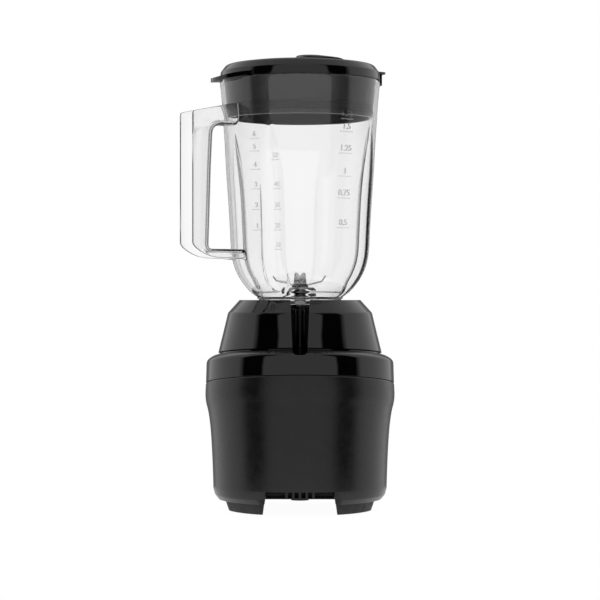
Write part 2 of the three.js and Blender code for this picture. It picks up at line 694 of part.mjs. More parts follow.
function makeCapNut() {
  const hexagon = arc(0, 0, 5, 0, 300, 5);
  const dome = toSolid(turned([[0, 202], [6, 202], [5, 205.4], [2.6, 207], [0, 207.4]], SEGMENTS.small));
  return prism(hexagon, 202.6, 208).intersect(dome).subtract(disc(2.9, 200, 203.8, SEGMENTS.small));
}

// ---- Lid ---------------------------------------------------------------------------------------------

// The filler opening in the lid's own frame, whose +X is the handle.
function fillerCentre() {
  return [FILLER_X * Math.cos(JUG_TURN), -FILLER_X * Math.sin(JUG_TURN)];
}

function makeLid() {
  const seat = JUG_RIM + GAP;
  const outside = [
    [LID_SKIRT_RADIUS - WALL, LID_SKIRT_LOW],
    [LID_SKIRT_RADIUS, LID_SKIRT_LOW],
    [LID_SKIRT_RADIUS, SEAL_GROOVE[0]],
    [LID_SKIRT_RADIUS - 1.6, SEAL_GROOVE[0]],
    [LID_SKIRT_RADIUS - 1.6, SEAL_GROOVE[1]],
    [LID_SKIRT_RADIUS + 0.6, SEAL_GROOVE[1]],
    [LID_SKIRT_TOP_RADIUS, seat],
    [LID_RIM_RADIUS - 0.4, seat],
    [LID_RIM_RADIUS, seat + 2],
    [LID_RIM_RADIUS - 0.8, 392.6],
    ...arc(62.4, 391, 8.2, 20, 78, 3),
    [40, 400.4],
    [0, LID_TOP],
  ];
  const inside = [
    [0, LID_TOP - WALL],
    [40, 397.6],
    [LID_SKIRT_TOP_RADIUS - WALL - 4, 396.4],
    [LID_SKIRT_TOP_RADIUS - WALL, 391],
    [LID_SKIRT_TOP_RADIUS - WALL, seat],
  ];
  const shell = toSolid(turned([...outside, ...inside], SEGMENTS.shell));
  const tabOutline = [[66, -13], [80, -10], [84, -4], [84, 4], [80, 10], [66, 13]];
  const liftTab = prism(tabOutline, seat + GAP, seat + 3.1);
  const spoutTab = prism([[-68, 14], [-81, 9], [-81.6, 0], [-81, -9], [-68, -14]], 393.4, 395.2);
  const hook = prism([[-75.4, 6], [-78.2, 6], [-78.2, -6], [-75.4, -6]], 383, 394);
  const chimney = tube(FILLER_RADIUS + 2, FILLER_RADIUS - 0.5, seat + 1.7, LID_TOP + 2.4);
  const opening = disc(FILLER_RADIUS - 0.5, seat, FILLER_TOP);
  const place = (solid) => solid.translate([...fillerCentre(), 0]);
  return union(shell, liftTab, spoutTab, hook, place(chimney)).subtract(place(opening));
}

// Seal in the groove of the skirt, with two lips towards the jug.
function makeLidSeal() {
  const [low, high] = [SEAL_GROOVE[0] + 0.6, SEAL_GROOVE[1] - 0.6];
  const [inner, waist, lip] = [LID_SKIRT_RADIUS - 1.2, LID_SKIRT_RADIUS - 0.2, LID_SKIRT_RADIUS + 0.3];
  const profile = [
    [inner, low],
    [waist, low],
    [lip, low + 1.1],
    [waist, low + 2.7],
    [waist, high - 2.7],
    [lip, high - 1.1],
    [waist, high],
    [inner, high],
  ];
  return toSolid(turned(profile, SEGMENTS.shell));
}

function makeFillerCap() {
  const brim = FILLER_RADIUS + 1.6;
  const plug = FILLER_RADIUS - 0.5 - GAP;
  const seat = LID_TOP + 2.7;
  const profile = [
    [plug - 2, 380],
    [plug, 380],
    [plug, seat],
    [brim, seat],
    [brim, seat + 1.1],
    [brim - 4, seat + 3.1],
    [0, FILLER_TOP],
    [0, FILLER_TOP - 2.6],
    [plug - 2, seat + 0.5],
  ];
  return toSolid(turned(profile));
}

// ---- Knob and electrics ------------------------------------------------------------------------------

function makeKnob() {
  const profile = [[0, 1], [KNOB_RADIUS, 1], [KNOB_RADIUS, 9], [KNOB_RADIUS - 2, 13], [0, 13]];
  const grip = block([-3.2, 3.2], [-KNOB_RADIUS + 1.5, KNOB_RADIUS - 1.5], [12, 18]);
  const pocket = disc(3.4, 0, 8, SEGMENTS.small);
  return alongY(union(toSolid(turned(profile)), grip).subtract(pocket), 0, KNOB_FACE, KNOB_HEIGHT);
}

function makeKnobSpindle() {
  return alongY(disc(3, 0, 24, SEGMENTS.small), 0, 66, KNOB_HEIGHT);
}

function makeDial() {
  return alongY(tube(24, 5, GAP, GAP + 0.6, SEGMENTS.shell), 0, KNOB_FACE, KNOB_HEIGHT);
}

function makeSwitchBody() {
  return block([-15, 15], [44, 70], [KNOB_HEIGHT - 13, KNOB_HEIGHT + 13])
    .subtract(alongY(disc(3.4, 0, 10, SEGMENTS.small), 0, 65, KNOB_HEIGHT));
}

// ---- Assembly ----------------------------------------------------------------------------------------

const base = new THREE.Group();
addPiece(base, 'base_housing', 'satin_black', makeHousing());
addPiece(base, 'glossy_band', 'gloss_black', makeBand());
addPiece(base, 'jug_collar', 'gloss_black', makeCollar());
addPiece(base, 'jug_seat_ring', 'rubber', makeSeatRing());
addPiece(base, 'bottom_cover', 'satin_black', makeBottomCover());
addPiece(base, 'cord_gland', 'rubber', makeGland());

const footAngles = { back_left: 218, back_right: 322, front_right: 38, front_left: 142 };
for (const [name, angle] of Object.entries(footAngles)) {
  addPiece(base, `foot_${name}`, 'rubber', makeFoot(angle));
}
SCREW_ANGLES.forEach((angle, index) => {
  addPiece(base, `base_screw_${index + 1}`, 'steel', makeScrew(angle));
});

const motor = new THREE.Group();
addPiece(motor, 'motor_stator', 'laminations', makeStator());
addPiece(motor, 'field_coil_left', 'copper', makeCoil(-1));
addPiece(motor, 'field_coil_right', 'copper', makeCoil(1));
const upperLegs = [STACK[1] + GAP, UPPER_BRACKET_LOW + 1];
const lowerLegs = [LOWER_BRACKET_LOW + 1, STACK[0] - GAP];
addPiece(motor, 'upper_bracket', 'aluminium', makeBracket(UPPER_BRACKET_LOW, 11, ...upperLegs));
addPiece(motor, 'lower_bracket', 'aluminium', makeBracket(LOWER_BRACKET_LOW, 8, ...lowerLegs));
addPiece(motor, 'upper_bearing', 'steel', tube(11, SHAFT_RADIUS + GAP, 94, 101));
addPiece(motor, 'lower_bearing', 'steel', tube(8, SHAFT_RADIUS + GAP, 35, 41));
const mountAngles = { left: 180, right: 0, front: 90, back: -90 };
for (const [name, angle] of Object.entries(mountAngles)) {
  addPiece(motor, `motor_mount_${name}`, 'rubber', makeMotorMount(angle));
}
for (const [name, sign] of [['front', 1], ['back', -1]]) {
  addPiece(motor, `brush_holder_${name}`, 'nylon', makeBrushHolder(sign));
  addPiece(motor, `carbon_brush_${name}`, 'carbon', makeBrush(sign));
}
addPiece(motor, 'switch_body', 'nylon', makeSwitchBody());
addPiece(motor, 'speed_board', 'board', block([-68, -66.4], [-20, 20], [50, 84]));

const rotor = new THREE.Group();
addPiece(rotor, 'motor_shaft', 'steel', disc(SHAFT_RADIUS, FAN.low - 1, SHAFT_TOP));
addPiece(rotor, 'armature', 'laminations', makeArmature());
addPiece(rotor, 'commutator', 'copper', tube(12, SHAFT_RADIUS + GAP, 43.5, 55));
addPiece(rotor, 'cooling_fan', 'nylon', makeFan());
addPiece(rotor, 'drive_socket', 'satin_black', makeDriveSocket());

const knob = new THREE.Group();
addPiece(base, 'dial_plate', 'gloss_black', makeDial());
addPiece(knob, 'control_knob', 'gloss_black', makeKnob());
addPiece(knob, 'knob_spindle', 'nylon', makeKnobSpindle());

const jug = new THREE.Group();
jug.rotation.z = JUG_TURN;
addPiece(jug, 'jug_body', 'clear', makeJugBody());
addPiece(jug, 'jug_handle', 'clear', makeHandle());
addPiece(jug, 'bearing_housing', 'steel', makeBearingHousing());
const gasketHeight = [JUG_FLOOR + GAP, JUG_FLOOR + 1.3];
addPiece(jug, 'bearing_gasket', 'rubber', tube(FLANGE_RADIUS, SLEEVE_RADIUS + GAP, ...gasketHeight));
addPiece(jug, 'bearing_nut', 'steel', makeBearingNut());
const bushHeight = [JUG_BOTTOM - 3.7, BLADE_HUB_HEIGHT - 1.4];
addPiece(jug, 'shaft_bush', 'brass', tube(BUSH_RADIUS, BLADE_SHAFT_RADIUS + GAP, ...bushHeight));

const blades = new THREE.Group();
const low = BLADE_HUB_HEIGHT;
const risingArm = [[0, low + 2.8], [8, low + 2.8], [18, low + 5.6], [24, low + 10.6]];
const steepArm = [[0, low + 1.2], [6, low + 1.2], [9, low + 3.4], [12, low + 13.6]];
const fallingArm = [[0, low - 0.6], [11, low - 0.6], [17.5, low - 4]];
addPiece(blades, 'blade_shaft', 'steel', makeBladeShaft());
addPiece(blades, 'lower_blade', 'blade_steel', makeBlade(fallingArm, 11, 2).rotate([0, 0, 40]));
addPiece(blades, 'middle_blade', 'blade_steel', makeBlade(steepArm, 14, 3.4).rotate([0, 0, 90]));
addPiece(blades, 'upper_blade', 'blade_steel', makeBlade(risingArm, 11, -2));
addPiece(blades, 'blade_nut', 'steel', makeCapNut());

const lid = new THREE.Group();
lid.rotation.z = JUG_TURN;
addPiece(lid, 'lid', 'gloss_black', makeLid());
addPiece(lid, 'lid_seal', 'rubber', makeLidSeal());

const cap = new THREE.Group();
cap.position.x = FILLER_X;
addPiece(cap, 'filler_cap', 'gloss_black', makeFillerCap());

const blender = new THREE.Group();
blender.position.z = -UNDERSIDE_HEIGHT;
blender.add(base, motor, rotor, knob, jug, blades, lid, cap);

export default blender;
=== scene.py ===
"""Looks of a countertop blender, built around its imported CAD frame.

Blender units are metres. Sizes below are millimetres, and heights are measured from the counter, which is
the lowest level of the CAD frame. The spindle axis is x = y = 0, -Y is the back of the base (the side with
the drain slot) and the knob is on +Y.
"""

import json
import math

import bmesh
import bpy
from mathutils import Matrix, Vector


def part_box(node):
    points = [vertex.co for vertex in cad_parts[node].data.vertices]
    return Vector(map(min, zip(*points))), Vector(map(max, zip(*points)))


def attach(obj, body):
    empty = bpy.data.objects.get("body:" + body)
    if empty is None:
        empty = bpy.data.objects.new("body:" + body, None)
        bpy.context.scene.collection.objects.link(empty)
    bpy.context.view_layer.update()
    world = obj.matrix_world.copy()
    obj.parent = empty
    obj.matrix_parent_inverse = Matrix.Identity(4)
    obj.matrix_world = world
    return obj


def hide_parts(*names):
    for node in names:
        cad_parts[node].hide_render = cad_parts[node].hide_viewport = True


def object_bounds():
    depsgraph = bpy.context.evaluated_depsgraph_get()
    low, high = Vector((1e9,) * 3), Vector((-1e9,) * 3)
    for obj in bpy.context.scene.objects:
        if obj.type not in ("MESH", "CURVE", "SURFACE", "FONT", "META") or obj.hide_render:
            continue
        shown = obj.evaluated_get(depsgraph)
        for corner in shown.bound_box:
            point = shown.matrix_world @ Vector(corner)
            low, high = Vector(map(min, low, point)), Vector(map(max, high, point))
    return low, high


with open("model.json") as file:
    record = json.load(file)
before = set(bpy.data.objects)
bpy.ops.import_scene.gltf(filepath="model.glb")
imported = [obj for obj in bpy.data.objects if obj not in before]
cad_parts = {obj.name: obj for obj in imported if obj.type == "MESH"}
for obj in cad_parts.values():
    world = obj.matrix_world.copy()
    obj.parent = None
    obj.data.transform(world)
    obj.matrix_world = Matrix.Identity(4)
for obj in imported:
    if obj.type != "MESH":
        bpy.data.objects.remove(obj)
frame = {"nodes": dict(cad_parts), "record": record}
cad_low, cad_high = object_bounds()

MM = 0.001
COUNTER = cad_low.z
GAP = 0.3  # between pieces, in millimetres
SPIN = 180  # divisions around a large body of revolution


def levels(node):
    """Lowest and highest level of a CAD node, in millimetres above the counter."""
    return [round((corner.z - COUNTER) / MM, 3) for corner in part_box(node)]


def middle(node, axis):
    """Middle of a CAD node along an axis, in millimetres."""
    low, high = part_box(node)
    return round((low[axis] + high[axis]) / 2 / MM, 3)


# ---- Driving dimensions, in millimetres, from the frame where it has them ----------------------------

WALL = 3
BASE_RADIUS = round(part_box("base_housing")[1].x / MM, 3)
TILT_RISE = 10.5  # of the band, from its middle to the back
TILT_ZONE = (40, 88, 118, 176)  # heights where the tilt begins, is full, begins to fade and ends
BAND_LOW = 113
BAND_HIGH = 138.2
BASE_RIM = 9.5
UNDERSIDE = levels("bottom_cover")[0]
FOOT_TOP = levels("foot_back_left")[1]
RECESS_TOP = 21.5
RECESS_INNER = 29.5  # half the width of the recess at its inner end
RECESS_FLARE = 1.1

COLLAR_LOW = 139.6
COLLAR_TOP = levels("jug_collar")[1]
WELL_RADIUS = 40.5
WELL_FLOOR = levels("jug_seat_ring")[0] - GAP
SOCKET_WELL_RADIUS = 14
SOCKET_LOW, SOCKET_TOP = levels("drive_socket")
SOCKET_WELL_FLOOR = SOCKET_LOW - 0.5
SLOT_BOTTOM = 140.3

JUG_TURN = math.radians(202)  # direction of the lid's lift tab
HANDLE_TURN = JUG_TURN + math.radians(5)
HANDLE_HALF_WIDTH = 14.8
JUG_FOOT_LOW, JUG_RIM = levels("jug_body")
JUG_BOTTOM = COLLAR_TOP + 1
JUG_FLOOR = levels("bearing_gasket")[0] - GAP
JUG_RIM_RADIUS = 72
JUG_FOOT_RADIUS = 37
SLEEVE_LOW, SLEEVE_TOP = levels("bearing_housing")
SLEEVE_RADIUS = 5
FLANGE_RADIUS = 8.4
NUT_LOW, NUT_TOP = levels("bearing_nut")
FLUTE_DEPTH = 6
FLUTE_HALF_WIDTH = 10.7
FLUTE_TOP = 346
FLUTE_FULL = 284
FLUTE_START = 191

BLADE_HUB = 198
BLADE_THICKNESS = 1.5
DOME_LOW = levels("blade_nut")[0]

LID_SKIRT_RADIUS = 65.7
LID_SKIRT_TOP_RADIUS = 68.3
LID_SKIRT_LOW = levels("lid")[0]
SEAL_LOW, SEAL_HIGH = levels("lid_seal")
SEAL_GROOVE = (SEAL_LOW - 0.6, SEAL_HIGH + 0.6)
FILLER_X = middle("filler_cap", 0)
FILLER_LOW, FILLER_TOP = levels("filler_cap")
FILLER_RADIUS = 20

KNOB_HEIGHT = round(middle("control_knob", 2) - COUNTER / MM, 3)
KNOB_FACE = round(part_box("base_housing")[1].y / MM, 3)
KNOB_RADIUS = 19

CAMERA_DISTANCE = 1.89  # metres
CAMERA_LENS = 126
PANEL = 0.75  # brightness of the soft panel behind the camera, and of the ceiling


# ---- Outlines ----------------------------------------------------------------------------------------

def rounded(corners, closed=True, steps=5):
    """Outline through (x, y) or (x, y, radius) corners; a corner with a radius is rounded by it."""
    outline = []
    for i, corner in enumerate(corners):
        here = Vector(corner[:2])
        end = not closed and i in (0, len(corners) - 1)
        if len(corner) < 3 or end:
            outline.append(here)
            continue
        before = Vector(corners[i - 1][:2]) - here
        after = Vector(corners[(i + 1) % len(corners)][:2]) - here
        half_angle = before.angle(after) / 2
        reach = min(corner[2] / math.tan(half_angle), 0.48 * before.length, 0.48 * after.length)
        start = here + before.normalized() * reach
        finish = here + after.normalized() * reach
        for k in range(steps + 1):
            t = k / steps
            outline.append(start * (1 - t) ** 2 + here * (2 * t * (1 - t)) + finish * t ** 2)
    return outline


def curve_through(points, steps=6):
    """Smooth curve through the points, with `steps` divisions between each two."""
    knots = [Vector(p) for p in points]
    ends = [knots[0] * 2 - knots[1]] + knots + [knots[-1] * 2 - knots[-2]]
    curve = []
    for a, b, c, d in zip(ends, ends[1:], ends[2:], ends[3:]):
        for k in range(steps):
            t = k / steps
            curve.append(0.5 * (b * 2 + (c - a) * t + (a * 2 - b * 5 + c * 4 - d) * t ** 2
                                + (b * 3 - a - c * 3 + d) * t ** 3))
    return curve + [knots[-1]]


def offset(curve, distance):
    """The curve moved sideways by a distance, to the left of its direction."""
    moved = []
    for i, point in enumerate(curve):
        along = curve[min(i + 1, len(curve) - 1)] - curve[max(i - 1, 0)]
        normal = Vector((-along.y, along.x)).normalized()
        moved.append(point + normal * distance)
    return moved


def arc(centre, radius, start, end, steps=6):
    """Points on an arc between two angles in degrees."""
    angles = [math.radians(start + (end - start) * k / steps) for k in range(steps + 1)]
    return [Vector((centre[0] + radius * math.cos(a), centre[1] + radius * math.sin(a))) for a in angles]


def hexagon(radius):
    """Six points, the first on +X."""
    return arc((0, 0), radius, 0, 300, 5)


def smooth(t):
    """Runs from 0 to 1 with level ends."""
    t = min(max(t, 0), 1)
    return t * t * (3 - 2 * t)


def tilt_share(z):
    start, full, fade, end = TILT_ZONE
    return smooth((z - start) / (full - start)) * (1 - smooth((z - fade) / (end - fade)))


def tilted(x, y, z):
    """The upper base is sheared, so that its band runs high at the back and low in front."""
    return x, y, z - TILT_RISE / BASE_RADIUS * tilt_share(z) * y


# ---- Mesh building -----------------------------------------------------------------------------------

def make_object(name, vertices, faces):
    """Object from points in millimetres above the counter, with its faces turned outwards."""
    mesh = bpy.data.meshes.new(name)
    mesh.from_pydata([(x * MM, y * MM, z * MM + COUNTER) for x, y, z in vertices], [], faces)
    work = bmesh.new()
    work.from_mesh(mesh)
    bmesh.ops.remove_doubles(work, verts=work.verts, dist=1e-7)
    bmesh.ops.recalc_face_normals(work, faces=work.faces)
    work.to_mesh(mesh)
    work.free()
    made = bpy.data.objects.new(name, mesh)
    bpy.context.collection.objects.link(made)
    return made


def revolve(name, outline, segments=SPIN, place=None, turn=0.0):
    """Body of revolution about the spindle. `place` maps each (x, y, z), `turn` starts the first column."""
    place = place or (lambda x, y, z: (x, y, z))
    count = len(outline)
    on_axis = outline[0][0] == 0 and outline[-1][0] == 0
    vertices = []
    for s in range(segments):
        angle = turn + 2 * math.pi * s / segments
        vertices += [place(r * math.cos(angle), r * math.sin(angle), z) for r, z in outline]
    faces = []
    for s in range(segments):
        a = s * count
        b = (s + 1) % segments * count
        for i in range(count - 1 if on_axis else count):
            j = (i + 1) % count
            if outline[i][0] == 0:
                faces.append((a + i, b + j, a + j))
            elif outline[j][0] == 0:
                faces.append((a + i, b + i, a + j))
            else:
                faces.append((a + i, b + i, b + j, a + j))
    return make_object(name, vertices, faces)


def extrude(name, outline, low, high, place=None):
    """Prism over an outline of (x, y) points between two heights."""
    place = place or (lambda x, y, z: (x, y, z))
    count = len(outline)
    vertices = [place(x, y, low) for x, y in outline] + [place(x, y, high) for x, y in outline]
    faces = [tuple(range(count))[::-1], tuple(range(count, 2 * count))]
    faces += [(i, (i + 1) % count, count + (i + 1) % count, count + i) for i in range(count)]
    return make_object(name, vertices, faces)


def box(name, xs, ys, zs):
    (x0, x1), (y0, y1) = sorted(xs), sorted(ys)
    return extrude(name, [(x0, y0), (x1, y0), (x1, y1), (x0, y1)], *zs)


def cylinder(name, radius, low, high, segments, place=None):
    """Solid cylinder about the spindle, or where `place` takes it."""
    return revolve(name, [(0, low), (radius, low), (radius, high), (0, high)], segments, place)


def loft_faces(count, sections):
    """Faces of a solid through closed sections of `count` points, closed by its first and last section."""
    faces = [tuple(range(count))[::-1]]
    for s in range(sections - 1):
        a = s * count
        faces += [(a + i, a + (i + 1) % count, a + count + (i + 1) % count, a + count + i)
                  for i in range(count)]
    last = (sections - 1) * count
    faces.append(tuple(range(last, last + count)))
    return faces


def loft(name, sections):
    """Solid through closed sections of equally many points."""
    vertices = [point for section in sections for point in section]
    return make_object(name, vertices, loft_faces(len(sections[0]), len(sections)))


def apply_modifiers(piece):
    """Replaces the piece's mesh by the result of its modifiers."""
    graph = bpy.context.evaluated_depsgraph_get()
    graph.update()
    result = bpy.data.meshes.new_from_object(piece.evaluated_get(graph))
    piece.modifiers.clear()
    piece.data = result
    return piece


def combine(piece, other, operation):
    """Joins another solid to the piece, or cuts it away, and removes the other."""
    modifier = piece.modifiers.new(operation.lower(), "BOOLEAN")
    modifier.object = other
    modifier.operation = operation
    modifier.solver = "MANIFOLD"
    apply_modifiers(piece)
    bpy.data.objects.remove(other)
    return piece


def join(piece, *others):
    for other in others:
        combine(piece, other, "UNION")
    return piece


def cut(piece, *others):
    for other in others:
        combine(piece, other, "DIFFERENCE")
    return piece


def soften(piece, width=0.4, angle=32, segments=2):
    """Rounds the edges sharper than an angle, as a mould does."""
    bevel = piece.modifiers.new("edge", "BEVEL")
    bevel.width = width * MM
    bevel.segments = segments
    bevel.limit_method = "ANGLE"
    bevel.angle_limit = math.radians(angle)
    bevel.use_clamp_overlap = True
    bevel.harden_normals = False
    return piece


def shade(piece, angle=28):
    """Smooth shading, with edges above an angle kept crisp."""
    for polygon in piece.data.polygons:
        polygon.use_smooth = True
    piece.data.set_sharp_from_angle(angle=math.radians(angle))
    return piece


def turn_point(x, y, z, angle):
    """The point turned about the spindle."""
    return x * math.cos(angle) - y * math.sin(angle), x * math.sin(angle) + y * math.cos(angle), z


def turned(piece, angle):
    """Turns the piece's mesh about the spindle."""
    for vertex in piece.data.vertices:
        vertex.co = turn_point(*vertex.co, angle)
    return piece


def knob_axis(x, y, z):
    """Takes a shape made about Z to the knob's axis, with its height along +Y from the boss's face."""
    return x, KNOB_FACE + z, KNOB_HEIGHT - y


def finish_piece(piece, body, slot, material, *nodes):
    """Gives a piece its material and its place in the frame."""
    piece.data.materials.clear()
    piece.data.materials.append(material)
    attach(piece, body)
    if nodes:
        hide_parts(*nodes)
    return piece


# ---- Materials ---------------------------------------------------------------------------------------

def new_material(name):
    """A material with a bare Principled shader; returns it with its nodes, links and shader."""
    material = bpy.data.materials.new(name)
    material.use_nodes = True
    nodes = material.node_tree.nodes
    return material, nodes, material.node_tree.links, nodes["Principled BSDF"]


def noise(nodes, links, scale, detail=3.0, stretch=None):
    """Noise texture over the object's own coordinates, in features per metre."""
    place = nodes.new("ShaderNodeTexCoord")
    texture = nodes.new("ShaderNodeTexNoise")
    texture.inputs["Scale"].default_value = scale
    texture.inputs["Detail"].default_value = detail
    source = place.outputs["Object"]
    if stretch:
        mapping = nodes.new("ShaderNodeMapping")
        mapping.inputs["Scale"].default_value = stretch
        links.new(source, mapping.inputs["Vector"])
        source = mapping.outputs["Vector"]
    links.new(source, texture.inputs["Vector"])
    return texture


def ramp(nodes, links, source, low, high, low_at=0.35, high_at=0.65):
    """Maps a grey value to a range of greys or colours."""
    stops = nodes.new("ShaderNodeValToRGB")
    colours = [(v, v, v, 1) if isinstance(v, (int, float)) else (*v, 1) for v in (low, high)]
    for element, colour, at in zip(stops.color_ramp.elements, colours, (low_at, high_at)):
        element.color = colour
        element.position = at
    links.new(source, stops.inputs["Fac"])
    return stops.outputs["Color"]


def bump(nodes, links, source, shader, strength, depth_mm):
    """Height from a grey value, in millimetres."""
    node = nodes.new("ShaderNodeBump")
    node.inputs["Strength"].default_value = strength
    node.inputs["Distance"].default_value = depth_mm * MM
    links.new(source, node.inputs["Height"])
    links.new(node.outputs["Normal"], shader.inputs["Normal"])


def moulded(name, dark, light, smooth_roughness, rough_roughness, grain, grain_depth, specular=0.5):
    """Injection-moulded plastic: slight colour mottle, uneven gloss and a fine surface grain."""
    material, nodes, links, shader = new_material(name)
    mottle = noise(nodes, links, 60, 2)
    links.new(ramp(nodes, links, mottle.outputs["Fac"], dark, light), shader.inputs["Base Color"])
    uneven = noise(nodes, links, 140, 4)
    links.new(ramp(nodes, links, uneven.outputs["Fac"], smooth_roughness, rough_roughness),
              shader.inputs["Roughness"])
    shader.inputs["Specular IOR Level"].default_value = specular
    fine = noise(nodes, links, grain, 2)
    bump(nodes, links, fine.outputs["Fac"], shader, 1.0, grain_depth)
    return material


def clear_plastic(name, dark=0.97, light=0.98, roughness=0.01, waviness=0.002):
    """Clear copolyester with the faint waviness of a moulding."""
    material, nodes, links, shader = new_material(name)
    tint = noise(nodes, links, 12, 1)
    links.new(ramp(nodes, links, tint.outputs["Fac"], dark, light), shader.inputs["Base Color"])
    shader.inputs["Roughness"].default_value = roughness
    shader.inputs["IOR"].default_value = 1.5
    shader.inputs["Transmission Weight"].default_value = 1.0
    wave = noise(nodes, links, 40, 1, (1, 1, 0.25))
    bump(nodes, links, wave.outputs["Fac"], shader, 1.0, waviness)
    return material


def metal(name, dark, light, smooth_roughness, rough_roughness, grind, stretch, depth=0.004):
    """Metal with grinding or turning marks stretched along one direction."""
    material, nodes, links, shader = new_material(name)
    marks = noise(nodes, links, grind, 4, stretch)
    links.new(ramp(nodes, links, marks.outputs["Fac"], dark, light), shader.inputs["Base Color"])
    links.new(ramp(nodes, links, marks.outputs["Fac"], smooth_roughness, rough_roughness),
              shader.inputs["Roughness"])
    shader.inputs["Metallic"].default_value = 1.0
    bump(nodes, links, marks.outputs["Fac"], shader, 1.0, depth)
    return material


def laminated(name):
    """Stacked steel sheets: fine level lines along the height."""
    material, nodes, links, shader = new_material(name)
    place = nodes.new("ShaderNodeTexCoord")
    sheets = nodes.new("ShaderNodeTexWave")
    sheets.bands_direction = "Z"
    sheets.inputs["Scale"].default_value = 300
    sheets.inputs["Distortion"].default_value = 0.3
    links.new(place.outputs["Object"], sheets.inputs["Vector"])
    links.new(ramp(nodes, links, sheets.outputs["Fac"], 0.06, 0.2), shader.inputs["Base Color"])
    shader.inputs["Metallic"].default_value = 0.9
    shader.inputs["Roughness"].default_value = 0.45
    bump(nodes, links, sheets.outputs["Fac"], shader, 1.0, 0.05)
    return material


def wound(name):
    """Enamelled wire laid side by side."""
    material, nodes, links, shader = new_material(name)
    place = nodes.new("ShaderNodeTexCoord")
    wire = nodes.new("ShaderNodeTexWave")
    wire.bands_direction = "X"
    wire.inputs["Scale"].default_value = 420
    wire.inputs["Distortion"].default_value = 0.6
    links.new(place.outputs["Object"], wire.inputs["Vector"])
    links.new(ramp(nodes, links, wire.outputs["Fac"], (0.22, 0.07, 0.025), (0.62, 0.27, 0.11)),
              shader.inputs["Base Color"])
    shader.inputs["Metallic"].default_value = 0.8
    shader.inputs["Roughness"].default_value = 0.35
    bump(nodes, links, wire.outputs["Fac"], shader, 1.0, 0.12)
    return material


def make_materials():
    return {
        "satin_black": moulded("satin_black_plastic", 0.003, 0.005, 0.26, 0.31, 2600, 0.006, 0.42),
        "gloss_black": moulded("gloss_black_plastic", 0.001, 0.002, 0.03, 0.05, 90, 0.001),
        "clear": clear_plastic("clear_copolyester"),
        "frosted": clear_plastic("frosted_marks", 0.86, 0.90, 0.2),
        "rubber": moulded("black_rubber", 0.014, 0.022, 0.6, 0.75, 1800, 0.03, 0.35),
        "blade_steel": metal("ground_stainless", 0.42, 0.68, 0.14, 0.30, 300, (1, 8, 1)),
        "steel": metal("turned_steel", 0.28, 0.48, 0.22, 0.42, 200, (1, 1, 12)),
        "laminations": laminated("steel_laminations"),
        "copper": wound("copper_winding"),
        "aluminium": metal("cast_aluminium", 0.38, 0.6, 0.35, 0.6, 500, (1, 1, 1), 0.05),
        "carbon": moulded("pressed_carbon", 0.02, 0.05, 0.55, 0.8, 1500, 0.02),
        "brass": metal("turned_brass", (0.5, 0.34, 0.12), (0.75, 0.56, 0.26), 0.2, 0.4, 200, (1, 1, 12)),
        "nylon": moulded("natural_nylon", 0.5, 0.62, 0.35, 0.5, 700, 0.01),
        "board": moulded("green_board", (0.01, 0.09, 0.03), (0.02, 0.16, 0.05), 0.3, 0.5, 400, 0.02),
        "marking": moulded("white_marking", 0.55, 0.66, 0.4, 0.5, 900, 0.004),
    }


# ---- Base --------------------------------------------------------------------------------------------

def housing_outside():
    rim = rounded([(73.2, BASE_RIM), (76.6, 13.8, 3), (77.9, 20, 5)], closed=False)
    side = curve_through([
        (77.9, 19),
        (78.4, 36),
        (79.3, 56),
        (80.6, 74),
        (82.4, 87),
        (84.3, 95),
        (BASE_RADIUS, 101),
        (84.9, 107),
        (84.6, 111.6),
    ], 5)
    return rim[:-1] + side + [Vector((84.0, BAND_LOW - 0.4))]


def recess_cutter(name, grow, low, high, side, to_spindle=False):
    """Flaring recess in the base's lower edge. `side` is -1 at the back and 1 in front."""
    near, outside = 60, 92  # from the spindle

    def place(x, y, z):
        lean = 3 * (1 - (z - low) / (high - low)) if y <= near else 0
        return x + math.copysign(lean, x), side * y, z

    inner = RECESS_INNER + grow
    far = inner + RECESS_FLARE * (outside - near)
    outline = [(-inner, near), (-far, outside), (far, outside), (inner, near)]
    if to_spindle:
        outline += [(inner, 0), (-inner, 0)]
    return extrude(name, outline, low, high, place)


def make_housing(materials):
    outside = housing_outside()
    inside = [Vector((p.x - WALL, p.y)) for p in outside[::-1]]
    housing = revolve("housing", outside + inside, SPIN, tilted)
    for side in (-1, 1):
        tunnel = recess_cutter("tunnel", WALL, UNDERSIDE, RECESS_TOP + WALL, side)
        core = [(0, UNDERSIDE - 1)] + [(p.x - 1, p.y) for p in outside if p.y < 40] + [(0, 39)]
        join(housing, combine(tunnel, revolve("keep", core), "INTERSECT"))
    boss = rounded([(0, -24), (25, -24), (25, 0, 1.2), (0, 0)], closed=False)
    join(housing, revolve("boss", boss, 96, knob_axis))
    room = cylinder("room", 22, -28, -4, 64, knob_axis)
    spindle_hole = cylinder("spindle_hole", 4.5, -6, 2, 32, knob_axis)
    cut(housing, room, spindle_hole)
    for side in (-1, 1):
        cut(housing, recess_cutter("recess", 0, 0, RECESS_TOP, side))
    shade(soften(housing, 0.5))
    return finish_piece(housing, "base", "satin_black", materials["satin_black"], "base_housing")


